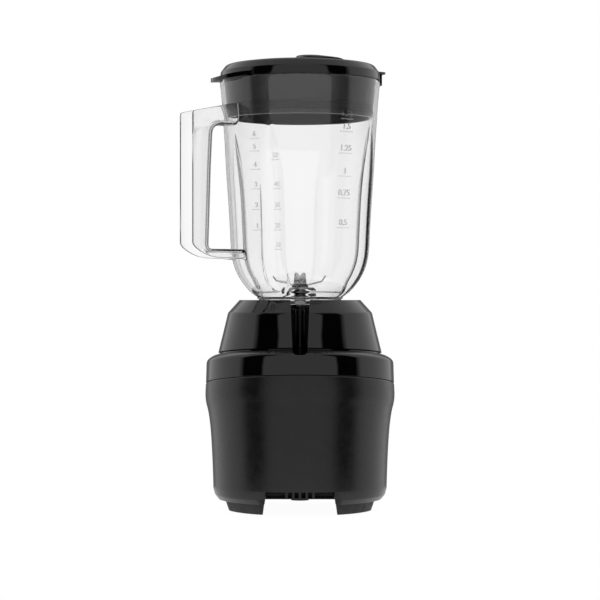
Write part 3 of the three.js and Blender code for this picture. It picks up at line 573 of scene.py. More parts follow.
def make_band(materials):
    shoulder = curve_through([
        (84.1, BAND_HIGH - 9),
        (83.9, BAND_HIGH - 7),
        (82.9, BAND_HIGH - 4.9),
        (80.2, BAND_HIGH - 2.6),
        (76.2, BAND_HIGH - 0.6),
        (72.6, BAND_HIGH),
    ], 5)
    rest = rounded([
        (72.6, BAND_HIGH),
        (72.6, BAND_HIGH - WALL),
        (75, BAND_HIGH - 8),
        (78.6, BAND_LOW + 10),
        (78.6, BAND_LOW - 4),
        (81, BAND_LOW - 4),
        (81, BAND_LOW),
        (84.55, BAND_LOW, 0.5),
        (84.1, BAND_HIGH - 9),
    ], closed=False)
    band = revolve("band", shoulder[:-1] + rest[:-1], SPIN, tilted)
    cut(band, slot_cutter("slot"))
    shade(soften(band, 0.4))
    return finish_piece(band, "base", "gloss_black", materials["gloss_black"], "glossy_band")


def slot_cutter(name):
    """Drain slot: open at the top, slightly narrower and round at its lower end, along -Y."""
    outline = rounded([
        (-8.8, COLLAR_TOP + 1),
        (-8, 182),
        (-6.4, SLOT_BOTTOM, 4.5),
        (6.4, SLOT_BOTTOM, 4.5),
        (8, 182),
        (8.8, COLLAR_TOP + 1),
    ])
    return extrude(name, outline, 0, 92, lambda x, y, z: (x, -z, y))


def collar_outside():
    side = curve_through([(73.4, COLLAR_LOW + 0.8), (71.1, 150), (68.4, 161), (66.0, 171), (64.9, 175.6)], 4)
    edge = rounded([
        (64.9, 175.6),
        (64.4, 176.6, 0.7),
        (54.4, COLLAR_TOP, 0.4),
        (48, COLLAR_TOP),
    ], closed=False)
    return side + edge[1:]


def make_collar(materials):
    outside = collar_outside()
    well = rounded([
        (48, COLLAR_TOP),
        (WELL_RADIUS, COLLAR_TOP, 1.2),
        (WELL_RADIUS, WELL_FLOOR, 1.0),
        (SOCKET_WELL_RADIUS, WELL_FLOOR, 1.0),
        (SOCKET_WELL_RADIUS, SOCKET_WELL_FLOOR, 1.5),
        (6, SOCKET_WELL_FLOOR),
        (6, SOCKET_WELL_FLOOR - WALL),
        (SOCKET_WELL_RADIUS + WALL, SOCKET_WELL_FLOOR - WALL),
        (SOCKET_WELL_RADIUS + WALL, WELL_FLOOR - WALL),
        (WELL_RADIUS + WALL, WELL_FLOOR - WALL),
        (WELL_RADIUS + WALL, COLLAR_TOP - WALL - 1),
        (53.5, COLLAR_TOP - WALL - 1),
        (61, 174),
        (65.4, 160),
        (69.0, COLLAR_LOW),
        (68.8, BAND_HIGH - 6),
        (71.4, BAND_HIGH - 6),
        (71.4, COLLAR_LOW, 0.4),
        (72.6, COLLAR_LOW, 0.4),
        (73.4, COLLAR_LOW + 0.8),
    ], closed=False)
    collar = revolve("collar", outside[:-1] + well[:-1], SPIN, tilted)
    core = revolve("core", [(0, COLLAR_LOW + 1)] + outside[1:] + [(0, COLLAR_TOP)], SPIN, tilted)
    channel = box("channel", (-11, 11), (-80, -SOCKET_WELL_RADIUS), (SOCKET_WELL_FLOOR - WALL, WELL_FLOOR))
    join(collar, combine(channel, core, "INTERSECT"))
    space = cylinder("space", SOCKET_WELL_RADIUS - 0.01, SOCKET_WELL_FLOOR, COLLAR_TOP + 10, 96)
    slot = slot_cutter("slot")
    cut(slot, box("floor", (-20, 20), (-64, 2), (100, SOCKET_WELL_FLOOR)))
    cut(collar, space, slot)
    shade(soften(collar, 0.5))
    return finish_piece(collar, "base", "gloss_black", materials["gloss_black"], "jug_collar")


def make_seat_ring(materials):
    low = WELL_FLOOR + GAP
    outline = rounded([
        (30, low),
        (40.1, low),
        (40.1, low + 1.7, 0.5),
        (38, low + 1.8, 0.4),
        (35.5, low + 1.4, 0.5),
        (33, low + 1.8, 0.4),
        (30, low + 1.7, 0.5),
    ])
    ring = cut(revolve("seat_ring", outline, 120), slot_cutter("slot"))
    return finish_piece(shade(ring), "base", "rubber", materials["rubber"], "jug_seat_ring")


def make_feet(materials):
    """Four rubber feet: sectors of a ring, drawn in towards the counter."""
    corners = [(50, 0, 1.4), (66, 0, 1.4), (69.3, 9.3, 1.0), (69.6, FOOT_TOP), (50, FOOT_TOP)]
    half_sector = 21  # degrees
    for name, bearing in (("back_left", 218), ("back_right", 322), ("front_right", 38), ("front_left", 142)):
        foot = revolve("foot_" + name, rounded(corners))
        sector = [(0, 0)] + arc((0, 0), 100, bearing - half_sector, bearing + half_sector, 3)
        combine(foot, extrude("sector", sector, -2, 20), "INTERSECT")
        side = -1 if bearing > 180 else 1
        cut(foot, recess_cutter("recess", 0.2, -1, RECESS_TOP, side, to_spindle=True))
        shade(soften(foot, 0.8, 35, 3))
        finish_piece(foot, "base", "rubber", materials["rubber"], "foot_" + name)


def add_grille(cover, side):
    """Cuts the cover at a recess and adds the upright ribs of the air grille with a baffle behind them."""
    top = UNDERSIDE + WALL
    cut(cover, recess_cutter("recess", WALL + GAP, UNDERSIDE - 1, top + 1, side))
    half = (-RECESS_INNER, RECESS_INNER)
    cut(cover, box("step", half, (side * 61, side * 40), (UNDERSIDE + 0.8, top + 1)))
    pitch, half_width = 5.9, 1.1
    for rib in range(-2, 3):
        xs = (rib * pitch - half_width, rib * pitch + half_width)
        join(cover, box("rib", xs, (side * 59.5, side * 57), (UNDERSIDE + 0.3, RECESS_TOP - GAP)))
    join(cover, box("baffle", half, (side * 38, side * 36), (UNDERSIDE + 1, 34)))


def make_bottom_cover(materials):
    radius = 72.4
    corners = [(0, UNDERSIDE), (radius, UNDERSIDE, 0.8), (radius, UNDERSIDE + WALL), (0, UNDERSIDE + WALL)]
    cover = revolve("bottom_cover_fine", rounded(corners, closed=False), 120)
    for side in (-1, 1):
        add_grille(cover, side)
    below, above = UNDERSIDE - 4, UNDERSIDE + 6
    for k in range(6):
        slit = box("slit", (30, 34), (-9, 9), (below, above))
        cut(cover, turned(slit, math.radians(60 * k)))
    for angle in (-12, 12, 168, 192):
        cx, cy = arc((0, 0), 62, angle, angle, 1)[0]
        cut(cover, cylinder("screw_hole", 2.2, below, above, 24, lambda x, y, z: (x + cx, y + cy, z)))
    gland_y = middle("cord_gland", 1)
    cut(cover, cylinder("gland_hole", 6.3, below, above, 32, lambda x, y, z: (x, y + gland_y, z)))
    shade(soften(cover, 0.3))
    return finish_piece(cover, "base", "satin_black", materials["satin_black"], "bottom_cover")


# ---- Drive socket ------------------------------------------------------------------------------------

def make_drive_socket(materials):
    """Ribbed sleeve on the motor shaft, with a six-sided hole for the blade shaft."""
    ribs = 14
    pitch = 360 / ribs
    outline = []
    for rib in range(ribs):
        start = rib * pitch
        outline += arc((0, 0), 8, start - 6, start + 6, 3)
        outline += arc((0, 0), 7.1, start + 9, start + pitch - 9, 2)
    socket = extrude("ribbed_socket", outline, SOCKET_LOW, SOCKET_TOP)
    shaft_hole = cylinder("shaft_hole", 4.3, 100, 163, 48)
    cut(socket, shaft_hole, extrude("blade_shaft_hole", hexagon(4.2), 165, 190))
    shade(soften(socket, 0.35))
    return finish_piece(socket, "rotor", "satin_black", materials["gloss_black"], "drive_socket")


# ---- Jug ---------------------------------------------------------------------------------------------

# Outside of the wall from the foot to the rim, without the flutes.
JUG_WALL_CURVE = [
    (38.4, 190.4),
    (44.5, 194.8),
    (50.2, 201.2),
    (54.9, 208.2),
    (58.4, 215.6),
    (60.8, 223.5),
    (62.2, 234),
    (63.0, 250),
    (64.3, 273),
    (66.3, 302),
    (67.9, 331),
    (69.1, 348),
    (70.0, 362),
    (71.2, 376),
]


def flute_cut(angle, radius, z):
    """How far a flute pushes the wall in, at an angle from the handle."""
    quarter = math.pi / 2
    off = angle - quarter / 2
    off -= quarter * round(off / quarter)
    fade = smooth((FLUTE_TOP - z) / (FLUTE_TOP - FLUTE_FULL))
    depth = FLUTE_DEPTH * fade * smooth((z - FLUTE_START) / 16)
    if depth < 0.01:
        return 0.0
    shape = depth - FLUTE_DEPTH * (off * radius / FLUTE_HALF_WIDTH) ** 2
    edge_softness = 0.07
    return 0.5 * (shape + math.sqrt(shape * shape + edge_softness * depth))


def fluted(x, y, z):
    radius = math.hypot(x, y)
    angle = math.atan2(y, x) - JUG_TURN
    scale = 1 - flute_cut(angle, radius, z) / max(radius, 1)
    return x * scale, y * scale, z


def handle_section(inner, outer, steps=7):
    """U section across the handle: round towards the fingers, open outwards."""
    half, thick = HANDLE_HALF_WIDTH, 2.9
    inner, outer = Vector(inner), Vector(outer)
    depth = (outer - inner).length
    rim = depth - thick / 2
    corner = min(7.0, rim - 0.2)
    small = max(corner - thick, 0.6)
    skin = [(rim, half)]
    skin += arc((corner, half - corner), corner, 90, 180, steps)
    skin += arc((corner, corner - half), corner, 180, 270, steps)
    skin += [(rim, -half)]
    rim_low = arc((rim, thick / 2 - half), thick / 2, -90, 90, 4)[1:-1]
    core = [(rim, thick - half)]
    core += arc((thick + small, small + thick - half), small, 270, 180, steps)
    core += arc((thick + small, half - thick - small), small, 180, 90, steps)
    core += [(rim, half - thick)]
    rim_high = arc((rim, half - thick / 2), thick / 2, -90, 90, 4)[1:-1]
    along = (outer - inner).normalized()
    section = []
    for u, v in skin + rim_low + core + rim_high:
        section.append(turn_point(inner.x + along.x * u, v, inner.y + along.y * u, HANDLE_TURN))
    return section


def make_handle():
    """C-shaped handle: pairs of points on its finger side and on its outer edge."""
    reach = 112  # of the outer edge from the spindle
    turn_steps = 8
    top_bend = arc((82, 333), 9, 90, 0, turn_steps)
    corner = curve_through([
        (86, 357.9),
        (96, 355.9),
        (107, 353.8),
        (reach - 0.6, 352.4),
        (reach, 349.4),
        (reach, 343),
        (reach, 333),
    ], 4)
    top_outer = [corner[round(k * (len(corner) - 1) / turn_steps)] for k in range(turn_steps + 1)]
    low_bend = arc((91, 236.2), 3.6, 0, -90, 6)
    low_outer = [
        (reach, 238.5),
        (reach - 0.4, 236.4),
        (109.5, 233.8),
        (105, 230.6),
        (100, 228),
        (94.5, 226),
        (89, 225),
    ]
    top_arm, low_arm = 342, 232.6  # heights of the finger side
    pairs = [((67.4, top_arm), (68.6, 361.6)), ((71, top_arm), (72.5, 360.8)), ((75, top_arm), (80, 359.2))]
    pairs += zip(top_bend, top_outer)
    pairs += [((92.4, 305), (reach, 305)), ((93.4, 272), (reach, 272))]
    pairs += zip(low_bend, low_outer)
    pairs += [((78, low_arm), (78, 224.4)), ((70, low_arm), (70, 224.2))]
    pairs += [((64, low_arm), (63.4, 223.6)), ((60.6, low_arm), (59.2, 223.0))]
    return loft("handle", [handle_section(inner, outer) for inner, outer in pairs])


def make_jug(materials):
    outer = curve_through(JUG_WALL_CURVE, 4)
    inner = [p for p in offset(outer, WALL) if JUG_FLOOR + 2.6 < p.y < 375][::-1]
    rim = rounded([
        JUG_WALL_CURVE[-1],
        (JUG_RIM_RADIUS, JUG_RIM - 3.2, 1.5),
        (JUG_RIM_RADIUS, JUG_RIM, 1.1),
        (JUG_RIM_RADIUS - 2.8, JUG_RIM, 1.1),
        (JUG_RIM_RADIUS - WALL, JUG_RIM - 3, 2),
        (68.2, 376),
    ], closed=False)
    floor = rounded([
        tuple(inner[-1]),
        (35.3, JUG_FLOOR, 1.5),
        (SLEEVE_RADIUS + GAP, JUG_FLOOR, 0.4),
        (SLEEVE_RADIUS + GAP, JUG_BOTTOM, 0.4),
        (JUG_FOOT_RADIUS - WALL, JUG_BOTTOM, 0.8),
        (JUG_FOOT_RADIUS - WALL, JUG_FOOT_LOW, 0.8),
        (JUG_FOOT_RADIUS, JUG_FOOT_LOW, 0.8),
        (JUG_FOOT_RADIUS, JUG_BOTTOM, 0.3),
        (JUG_FOOT_RADIUS + 1.4, JUG_BOTTOM, 0.3),
        JUG_WALL_CURVE[0],
    ], closed=False)
    outline = outer[:-1] + rim + inner + floor[1:-1]
    jug = revolve("jug", outline, 2 * SPIN, fluted, JUG_TURN)
    join(jug, make_handle())
    shade(jug, 40)
    return finish_piece(jug, "jug", "clear", materials["clear"], "jug_body", "jug_handle")


# Scales: bearing in degrees from -Y towards +X, size of the numbers, length of the marks, and the height and
# label of each mark.
LITRES = (36.5, 7.5, 13, [
    (346, "1.75"), (335, "1.5"), (316, "1.25"), (296, "1"), (277, "0.75"), (251, "0.5")])
CUPS = (-36, 6.2, 9, [(329, "6"), (318, "5"), (302, "4"), (285, "3"), (267, "2"), (249, "1")])
OUNCES = (-19.5, 6.2, 8, [(310, "50"), (285, "40"), (267, "30"), (249, "20"), (232, "10")])
MARK_HALF_DEPTH = 0.3


def wall_radius(z):
    """Outer radius of the jug's wall at a height, without its flutes."""
    for (r0, z0), (r1, z1) in zip(JUG_WALL_CURVE, JUG_WALL_CURVE[1:]):
        if z <= z1:
            return r0 + (r1 - r0) * (z - z0) / (z1 - z0)
    return JUG_WALL_CURVE[-1][0]


def wrap_on_jug(bearing, height, x, y, lift):
    """A point of a flat mark laid on the jug's outside."""
    radius = wall_radius(height + y)
    angle = math.radians(bearing - 90) + x / radius
    radius += lift - flute_cut(angle - JUG_TURN, radius, height + y)
    return radius * math.cos(angle), radius * math.sin(angle), height + y


def flat_text(text, size):
    """Vertices and faces of a line of text, centred on the origin, in millimetres."""
    curve = bpy.data.curves.new("text", "FONT")
    curve.body = text
    curve.size = size
    curve.align_x = "CENTER"
    curve.align_y = "CENTER"
    curve.extrude = MARK_HALF_DEPTH
    curve.offset = 0.05
    curve.resolution_u = 3
    holder = bpy.data.objects.new("text", curve)
    bpy.context.collection.objects.link(holder)
    bpy.context.view_layer.update()
    mesh = bpy.data.meshes.new_from_object(holder.evaluated_get(bpy.context.evaluated_depsgraph_get()))
    points = [tuple(v.co) for v in mesh.vertices]
    faces = [tuple(p.vertices) for p in mesh.polygons]
    bpy.data.objects.remove(holder)
    return points, faces


def flat_bar(length):
    """Vertices and faces of a mark centred on the origin, in three stretches so that it can bend."""
    half, depth = 0.4, MARK_HALF_DEPTH
    stretches = 3
    points = []
    for k in range(stretches + 1):
        x = length * (k / stretches - 0.5)
        points += [(x, -half, -depth), (x, half, -depth), (x, half, depth), (x, -half, depth)]
    return points, loft_faces(4, stretches + 1)


def make_graduations(materials):
    """Raised scale marks and numbers on the jug: one scale to the right, two to the left."""
    vertices, faces = [], []

    def add(shape, bearing, height):
        points, polygons = shape
        start = len(vertices)
        vertices.extend(wrap_on_jug(bearing, height, x, y, 0.26 + z) for x, y, z in points)
        faces.extend(tuple(start + i for i in polygon) for polygon in polygons)

    for bearing, size, length, marks in (LITRES, CUPS, OUNCES):
        for height, label in marks:
            add(flat_text(label, size), bearing, height + size * 0.6)
            add(flat_bar(length), bearing, height)
    marks = shade(make_object("graduations", vertices, faces))
    return finish_piece(marks, "jug", "clear", materials["frosted"])


def make_bearing(materials):
    """Bearing housing through the jug's floor, its gasket and the nut under the floor."""
    bore = 3.9
    flange = JUG_FLOOR + 1.6
    housing = rounded([
        (bore, SLEEVE_LOW),
        (SLEEVE_RADIUS, SLEEVE_LOW, 0.3),
        (SLEEVE_RADIUS, flange),
        (FLANGE_RADIUS, flange, 0.3),
        (FLANGE_RADIUS, flange + 0.8, 0.4),
        (SLEEVE_RADIUS, flange + 2, 1.5),
        (SLEEVE_RADIUS - 0.2, SLEEVE_TOP, 0.4),
        (bore, SLEEVE_TOP, 0.3),
    ])
    sleeve = shade(revolve("bearing_sleeve", housing, 72))
    finish_piece(sleeve, "jug", "steel", materials["steel"], "bearing_housing")
    ring = rounded([
        (SLEEVE_RADIUS + GAP, JUG_FLOOR + GAP),
        (FLANGE_RADIUS, JUG_FLOOR + GAP, 0.3),
        (FLANGE_RADIUS, flange - GAP, 0.3),
        (SLEEVE_RADIUS + GAP, flange - GAP),
    ])
    gasket = shade(revolve("floor_gasket", ring, 72))
    finish_piece(gasket, "jug", "rubber", materials["rubber"], "bearing_gasket")
    nut = extrude("floor_nut", hexagon(9), NUT_LOW, NUT_TOP)
    round_off = rounded([
        (0, NUT_LOW),
        (8.2, NUT_LOW),
        (9, NUT_LOW + 0.6),
        (9, NUT_TOP - 0.6),
        (8.2, NUT_TOP),
        (0, NUT_TOP),
    ], closed=False)
    combine(nut, revolve("round_off", round_off, 72), "INTERSECT")
    cut(nut, cylinder("bore", SLEEVE_RADIUS + GAP, 180, 190, 48))
    shade(soften(nut, 0.2))
    finish_piece(nut, "jug", "steel", materials["steel"], "bearing_nut")


# ---- Blades ------------------------------------------------------------------------------------------

def blade_section(point, normal, side, half, shift, share):
    """Section of a blade arm: a flat back and a slope down to the cutting edge."""
    edge = 0.25 + 0.3 * (1 - share)
    corners = [
        (half, 0.0),
        (half, edge),
        (half * 0.45, BLADE_THICKNESS),
        (-half, BLADE_THICKNESS),
        (-half, 0.0),
    ]
    section = []
    for across, lift in corners:
        spot = point + normal * lift
        section.append((side * spot.x, side * (across + shift), spot.y))
    return section


def make_blade(name, arm, root, tip, tip_shift, turn, materials):
    """Two-armed blade. `arm` is its bent centre line (distance, height), tapering from its first bend."""
    line = rounded([(*p, 3) if 0 < i < len(arm) - 1 else p for i, p in enumerate(arm)], closed=False)
    lengths = [0.0]
    for before, after in zip(line, line[1:]):
        lengths.append(lengths[-1] + (after - before).length)
    flat = (Vector(arm[1]) - Vector(arm[0])).length
    arms = []
    for side in (1, -1):
        sections = []
        for i, point in enumerate(line):
            along = (line[min(i + 1, len(line) - 1)] - line[max(i - 1, 0)]).normalized()
            share = max(lengths[i] - flat, 0) / (lengths[-1] - flat)
            half = (root + (tip - root) * share) / 2
            normal = Vector((-along.y, along.x))
            sections.append(blade_section(point, normal, side, half, tip_shift * share ** 2, share))
        arms.append(loft(name, sections))
    low = arm[0][1]
    top = low + BLADE_THICKNESS
    hub = revolve("hub", rounded([(0, low), (6, low, 0.2), (6, top, 0.2), (0, top)], closed=False), 48)
    solid = join(arms[0], arms[1], hub)
    cut(solid, cylinder("bore", 3, 150, 250, 32))
    turned(solid, math.radians(turn))
    shade(soften(solid, 0.12, 40, 1))
    return finish_piece(solid, "blades", "blade_steel", materials["blade_steel"], name)


def make_blades(materials):
    """Three crossed blades under a dome nut; the lowest sweeps the floor and the middle one stands steep."""
    low, mid, high = BLADE_HUB - 0.6, BLADE_HUB + 1.2, BLADE_HUB + 2.8
    lower_arm = [(0, low), (11, low), (17.5, BLADE_HUB - 4)]
    middle_arm = [(0, mid), (6, mid), (9, BLADE_HUB + 3.6), (11.4, BLADE_HUB + 14)]
    upper_arm = [(0, high), (8, high + 0.1), (20, BLADE_HUB + 5.8), (23.6, BLADE_HUB + 11)]
    make_blade("lower_blade", lower_arm, 11, 7, 2, 40, materials)
    make_blade("middle_blade", middle_arm, 15, 2.4, 3.6, 90, materials)
    make_blade("upper_blade", upper_arm, 12, 2.2, -2, 0, materials)
    nut = extrude("dome_nut", hexagon(5), DOME_LOW, 208)
    dome = rounded([(0, 202), (6, 202), (4.9, 205.6, 1), (2.4, 207.2, 2), (0, 207.4)], closed=False)
    combine(nut, revolve("dome", dome, 48), "INTERSECT")
    shade(soften(nut, 0.15))
    finish_piece(nut, "blades", "steel", materials["steel"], "blade_nut")


# ---- Lid ---------------------------------------------------------------------------------------------

def to_jug(x, y, z):
    """From the lid's own frame, whose +X is the lift tab, to the frame."""
    return turn_point(x, y, z, JUG_TURN)


def to_filler(x, y, z):
    return x + FILLER_X, y, z


def make_lid_shell():
    seat = JUG_RIM + GAP
    groove = LID_SKIRT_RADIUS - 1.6
    inside = LID_SKIRT_TOP_RADIUS - WALL
    section = rounded([
        (0, 398),
        (inside - 4, 396.4, 2),
        (inside, 391, 2),
        (inside, seat),
        (LID_SKIRT_RADIUS - WALL, LID_SKIRT_LOW, 1),
        (LID_SKIRT_RADIUS, LID_SKIRT_LOW, 1),
        (LID_SKIRT_RADIUS, SEAL_GROOVE[0], 0.3),
        (groove, SEAL_GROOVE[0]),
        (groove, SEAL_GROOVE[1]),
        (LID_SKIRT_RADIUS + 0.6, SEAL_GROOVE[1], 0.3),
        (LID_SKIRT_TOP_RADIUS, seat, 0.4),
        (JUG_RIM_RADIUS - 0.4, seat, 0.5),
        (JUG_RIM_RADIUS, seat + 1.2, 0.8),
        (JUG_RIM_RADIUS - 0.6, 391.8, 2.5),
        (66.8, 398.0, 5),
        (56, 399.6, 10),
        (0, 401),
    ], closed=False)
    return revolve("lid_fine", section)


def make_lift_tab():
    """Crescent that grows out of the lid's rim and droops towards its tip."""
    seat = JUG_RIM + GAP
    rim, root, reach, half_angle = 71.2, 69, 12, 38
    outer, inner = [], []
    for a in range(-half_angle, half_angle + 1, 2):
        radius = rim + reach * math.cos(math.radians(a * 90 / half_angle)) ** 2
        cos, sin = math.cos(math.radians(a)), math.sin(math.radians(a))
        outer.append((radius * cos, radius * sin))
        inner.append((root * cos, root * sin))

    def drooping(x, y, z):
        return to_jug(x, y, z - 0.02 * (math.hypot(x, y) - root) ** 2)

    return extrude("tab", outer + inner[::-1], seat + GAP, seat + 4.1, drooping)


def make_lid(materials):
    lid = make_lid_shell()
    spout_tab = rounded([(-68, 14), (-81, 9, 4), (-81, -9, 4), (-68, -14)])
    spout = extrude("spout", spout_tab, 393.2, 395, to_jug)
    hook = extrude("hook", [(-75.4, 6), (-78.2, 6), (-78.2, -6), (-75.4, -6)], 383, 394, to_jug)
    inner, outer = FILLER_RADIUS - 2, FILLER_RADIUS + 2
    chimney = rounded([(inner, 386), (outer, 386), (outer, 403.2, 0.8), (inner, 403.2)])
    join(lid, make_lift_tab(), spout, hook, revolve("chimney", chimney, 96, to_filler))
    cut(lid, cylinder("opening", FILLER_RADIUS - 0.5, 380, 410, 96, to_filler))
    shade(soften(lid, 0.5))
    return finish_piece(lid, "lid", "gloss_black", materials["gloss_black"], "lid")


def make_lid_seal(materials):
    """Ring in the groove of the skirt, with two lips towards the jug."""
    low, high = SEAL_LOW, SEAL_HIGH
    inner, waist, lip = LID_SKIRT_RADIUS - 1.2, LID_SKIRT_RADIUS - 0.2, LID_SKIRT_RADIUS + 0.3
    outline = rounded([
        (inner, low),
        (waist, low, 0.3),
        (lip, low + 1.1, 0.3),
        (waist, low + 2.7, 0.5),
        (waist, high - 2.7, 0.5),
        (lip, high - 1.1, 0.3),
        (waist, high, 0.3),
        (inner, high),
    ])
    seal = shade(revolve("seal_fine", outline))
    return finish_piece(seal, "lid", "rubber", materials["rubber"], "lid_seal")


def make_filler_cap(materials):
    plug, inside = FILLER_RADIUS - 0.8, FILLER_RADIUS - 2.8
    brim = 403.6
    outline = rounded([
        (0, FILLER_TOP - 2.4),
        (inside, 404, 1),
        (inside, FILLER_LOW, 0.8),
        (plug, FILLER_LOW, 0.8),
        (plug, brim, 0.3),
        (FILLER_RADIUS + 1.6, brim, 0.5),
        (FILLER_RADIUS + 1.4, 404.8, 0.8),
        (FILLER_RADIUS - 8, 407.2, 6),
        (0, FILLER_TOP),
    ], closed=False, steps=8)

    def crowned(x, y, z):
        """The crown of the cap leans away from the lid's spout."""
        return x + FILLER_X - 11 * smooth((z - brim) / 5), y, z

    cap = shade(revolve("filler_cap_fine", outline, 120, crowned))
    return finish_piece(cap, "cap", "gloss_black", materials["gloss_black"], "filler_cap")


# ---- Knob --------------------------------------------------------------------------------------------

def make_knob(materials):
    teeth = 36
    skirt = []
    for k in range(2 * teeth):
        radius = KNOB_RADIUS if k % 2 else KNOB_RADIUS - 0.5
        angle = math.pi * k / teeth
        skirt.append((radius * math.cos(angle), radius * math.sin(angle)))
    knob = extrude("knob_fine", skirt, 1, 13, knob_axis)
    shape = rounded([(0, 0.9), (18.9, 0.9), (19.2, 2), (19.2, 9, 2), (17.4, 13, 2.5), (0, 13)], closed=False)
    combine(knob, revolve("shape", shape, 144, knob_axis), "INTERSECT")
    half, reach = 3.4, 17.2
    grip = rounded([(-half, -reach, 2), (half, -reach, 2), (half - 0.8, reach, 2), (0.8 - half, reach, 2)])
    join(knob, extrude("grip", grip, 12, 18, knob_axis))
    shade(soften(knob, 0.5, 30, 3))
    finish_piece(knob, "knob", "gloss_black", materials["satin_black"], "control_knob")
    line = [(-0.6, -15.5), (0.6, -15.5), (0.6, -7), (-0.6, -7)]
    pointer = shade(extrude("pointer", line, 17.9, 18.2, knob_axis))
    finish_piece(pointer, "knob", "gloss_black", materials["marking"])


def make_dial(materials):
    outline = rounded([(5, GAP), (24, GAP, 0.2), (24, 0.9, 0.3), (5, 0.9)])
    dial = shade(revolve("dial_fine", outline, 120, knob_axis))
    finish_piece(dial, "base", "gloss_black", materials["gloss_black"], "dial_plate")


# ---- Studio ------------------------------------------------------------------------------------------

def make_camera():
    """Level camera behind the base, at the height of the collar's top."""
    data = bpy.data.cameras.new("camera")
    data.lens = CAMERA_LENS
    data.sensor_width = 36
    data.clip_end = 60
    camera = bpy.data.objects.new("camera", data)
    camera.location = (0, -CAMERA_DISTANCE, COLLAR_TOP * MM + COUNTER)
    camera.rotation_euler = (math.radians(90), 0, 0)
    bpy.context.collection.objects.link(camera)
    bpy.context.scene.camera = camera


def calculate(nodes, links, operation, *values, clamp=False):
    """A Math node over numbers and other nodes' outputs."""
    node = nodes.new("ShaderNodeMath")
    node.operation = operation
    node.use_clamp = clamp
    for socket, value in zip(node.inputs, values):
        if isinstance(value, (int, float)):
            socket.default_value = value
        else:
            links.new(value, socket)
    return node.outputs["Value"]


def panels(nodes, links, bearing, stages):
    """Brightness of the studio by its bearing from the camera, from (degrees, level) pairs up to 180."""
    share = calculate(nodes, links, "DIVIDE", bearing, math.pi)
    stops = nodes.new("ShaderNodeValToRGB")
    elements = stops.color_ramp.elements
    elements.remove(elements[1])
    for i, (degrees, level) in enumerate(stages):
        element = elements.new(degrees / 180) if i else elements[0]
        element.position = degrees / 180
        element.color = (level, level, level, 1)
    links.new(share, stops.inputs["Fac"])
    return stops.outputs["Color"]


def mix_shaders(nodes, links, share, first, second):
    mixed = nodes.new("ShaderNodeMixShader")
    links.new(share, mixed.inputs["Fac"])
    links.new(first, mixed.inputs[1])
    links.new(second, mixed.inputs[2])
    return mixed.outputs["Shader"]


def backdrop(nodes, links, colour):
    """Background shader of a colour, or of another node's output."""
    background = nodes.new("ShaderNodeBackground")
    if isinstance(colour, tuple):
        background.inputs["Color"].default_value = colour
    else:
        links.new(colour, background.inputs["Color"])
    return background.outputs["Background"]


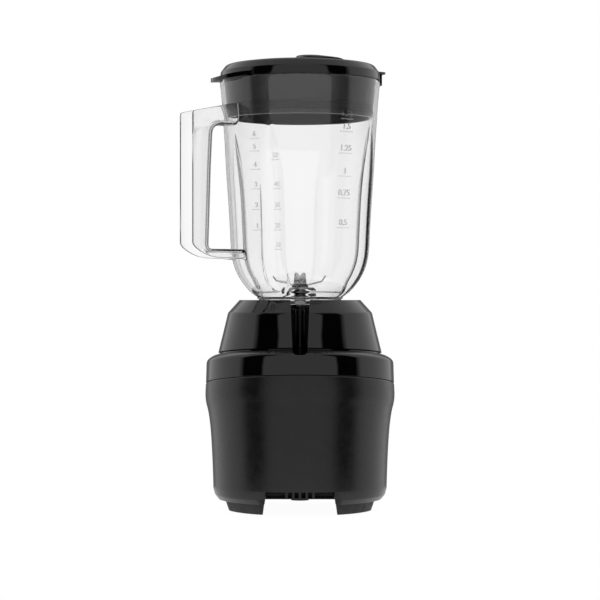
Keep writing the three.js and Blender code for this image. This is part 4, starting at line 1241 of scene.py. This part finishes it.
def make_world():
    """White studio: a soft panel behind the camera, white at the sides, and an unlit gap between them.

    Overhead the gaps end under an even ceiling. Beyond the object the reflected studio is dim, so that glossy
    pieces keep an outline. Seen through the jug it is white only there, so that its edges come out grey.
    The open background is plain white.
    """
    world = bpy.data.worlds.new("studio")
    bpy.context.scene.world = world
    world.use_nodes = True
    nodes, links = world.node_tree.nodes, world.node_tree.links
    nodes.remove(nodes["Background"])
    place = nodes.new("ShaderNodeTexCoord")
    split = nodes.new("ShaderNodeSeparateXYZ")
    links.new(place.outputs["Generated"], split.inputs["Vector"])
    sideways = calculate(nodes, links, "ABSOLUTE", split.outputs["X"])
    towards = calculate(nodes, links, "MULTIPLY", split.outputs["Y"], -1)
    above = calculate(nodes, links, "MAXIMUM", split.outputs["Z"], 0)
    # The ceiling begins 35 degrees up and is full at 61 degrees.
    ceiling = calculate(nodes, links, "MULTIPLY_ADD", above, 3.3, -1.9, clamp=True)

    def under_ceiling(sides):
        to_panel = calculate(nodes, links, "SUBTRACT", PANEL, sides)
        return calculate(nodes, links, "MULTIPLY_ADD", ceiling, to_panel, sides)

    # The edges of the reflected gaps lean with height.
    leaning = calculate(nodes, links, "MULTIPLY_ADD", above, 0.46, sideways)
    reflected = panels(nodes, links, calculate(nodes, links, "ARCTAN2", leaning, towards), [
        (0, PANEL), (44.5, PANEL), (47.5, 0), (72, 0), (80, 0.9),
        (120, 1), (144, 1), (154, 0.25), (180, 0.2)])
    refracted = panels(nodes, links, calculate(nodes, links, "ARCTAN2", sideways, towards), [
        (0, PANEL), (45, 0.7), (65, 0.3), (148, 0.28), (166, 0.95), (180, 1)])
    light = backdrop(nodes, links, under_ceiling(reflected))
    behind = backdrop(nodes, links, under_ceiling(refracted))
    white = backdrop(nodes, links, (1, 1, 1, 1))
    ray = nodes.new("ShaderNodeLightPath").outputs
    lit = mix_shaders(nodes, links, ray["Is Transmission Ray"], light, behind)
    shown = mix_shaders(nodes, links, ray["Is Camera Ray"], lit, white)
    links.new(shown, nodes["World Output"].inputs["Surface"])


def make_floor():
    """Round pale floor, as white as the studio around it."""
    floor = extrude("floor", arc((0, 0), 200, 0, 355, 71), -4, -0.02)
    material, nodes, links, shader = new_material("pale_floor")
    speck = noise(nodes, links, 30, 2)
    links.new(ramp(nodes, links, speck.outputs["Fac"], 0.10, 0.11), shader.inputs["Base Color"])
    shader.inputs["Roughness"].default_value = 0.9
    shader.inputs["Specular IOR Level"].default_value = 0.0
    shader.inputs["Emission Color"].default_value = (1, 1, 1, 1)
    shader.inputs["Emission Strength"].default_value = 0.96
    floor.data.materials.append(material)


def dress_frame_nodes(materials):
    """Procedural materials for the CAD nodes that stay."""
    slots = {entry["node"]: entry["material_slot"] for entry in frame["record"]["subparts"]}
    for node, cad_object in frame["nodes"].items():
        slot = slots[node]
        cad_object.data.materials.clear()
        cad_object.data.materials.append(materials[slot])


# ---- The object --------------------------------------------------------------------------------------

bpy.context.scene.view_settings.view_transform = "Standard"
make_camera()
make_world()
make_floor()
finishes = make_materials()
dress_frame_nodes(finishes)
make_housing(finishes)
make_band(finishes)
make_collar(finishes)
make_seat_ring(finishes)
make_feet(finishes)
make_bottom_cover(finishes)
make_drive_socket(finishes)
make_jug(finishes)
make_graduations(finishes)
make_bearing(finishes)
make_blades(finishes)
make_lid(finishes)
make_lid_seal(finishes)
make_filler_cap(finishes)
make_knob(finishes)
make_dial(finishes)
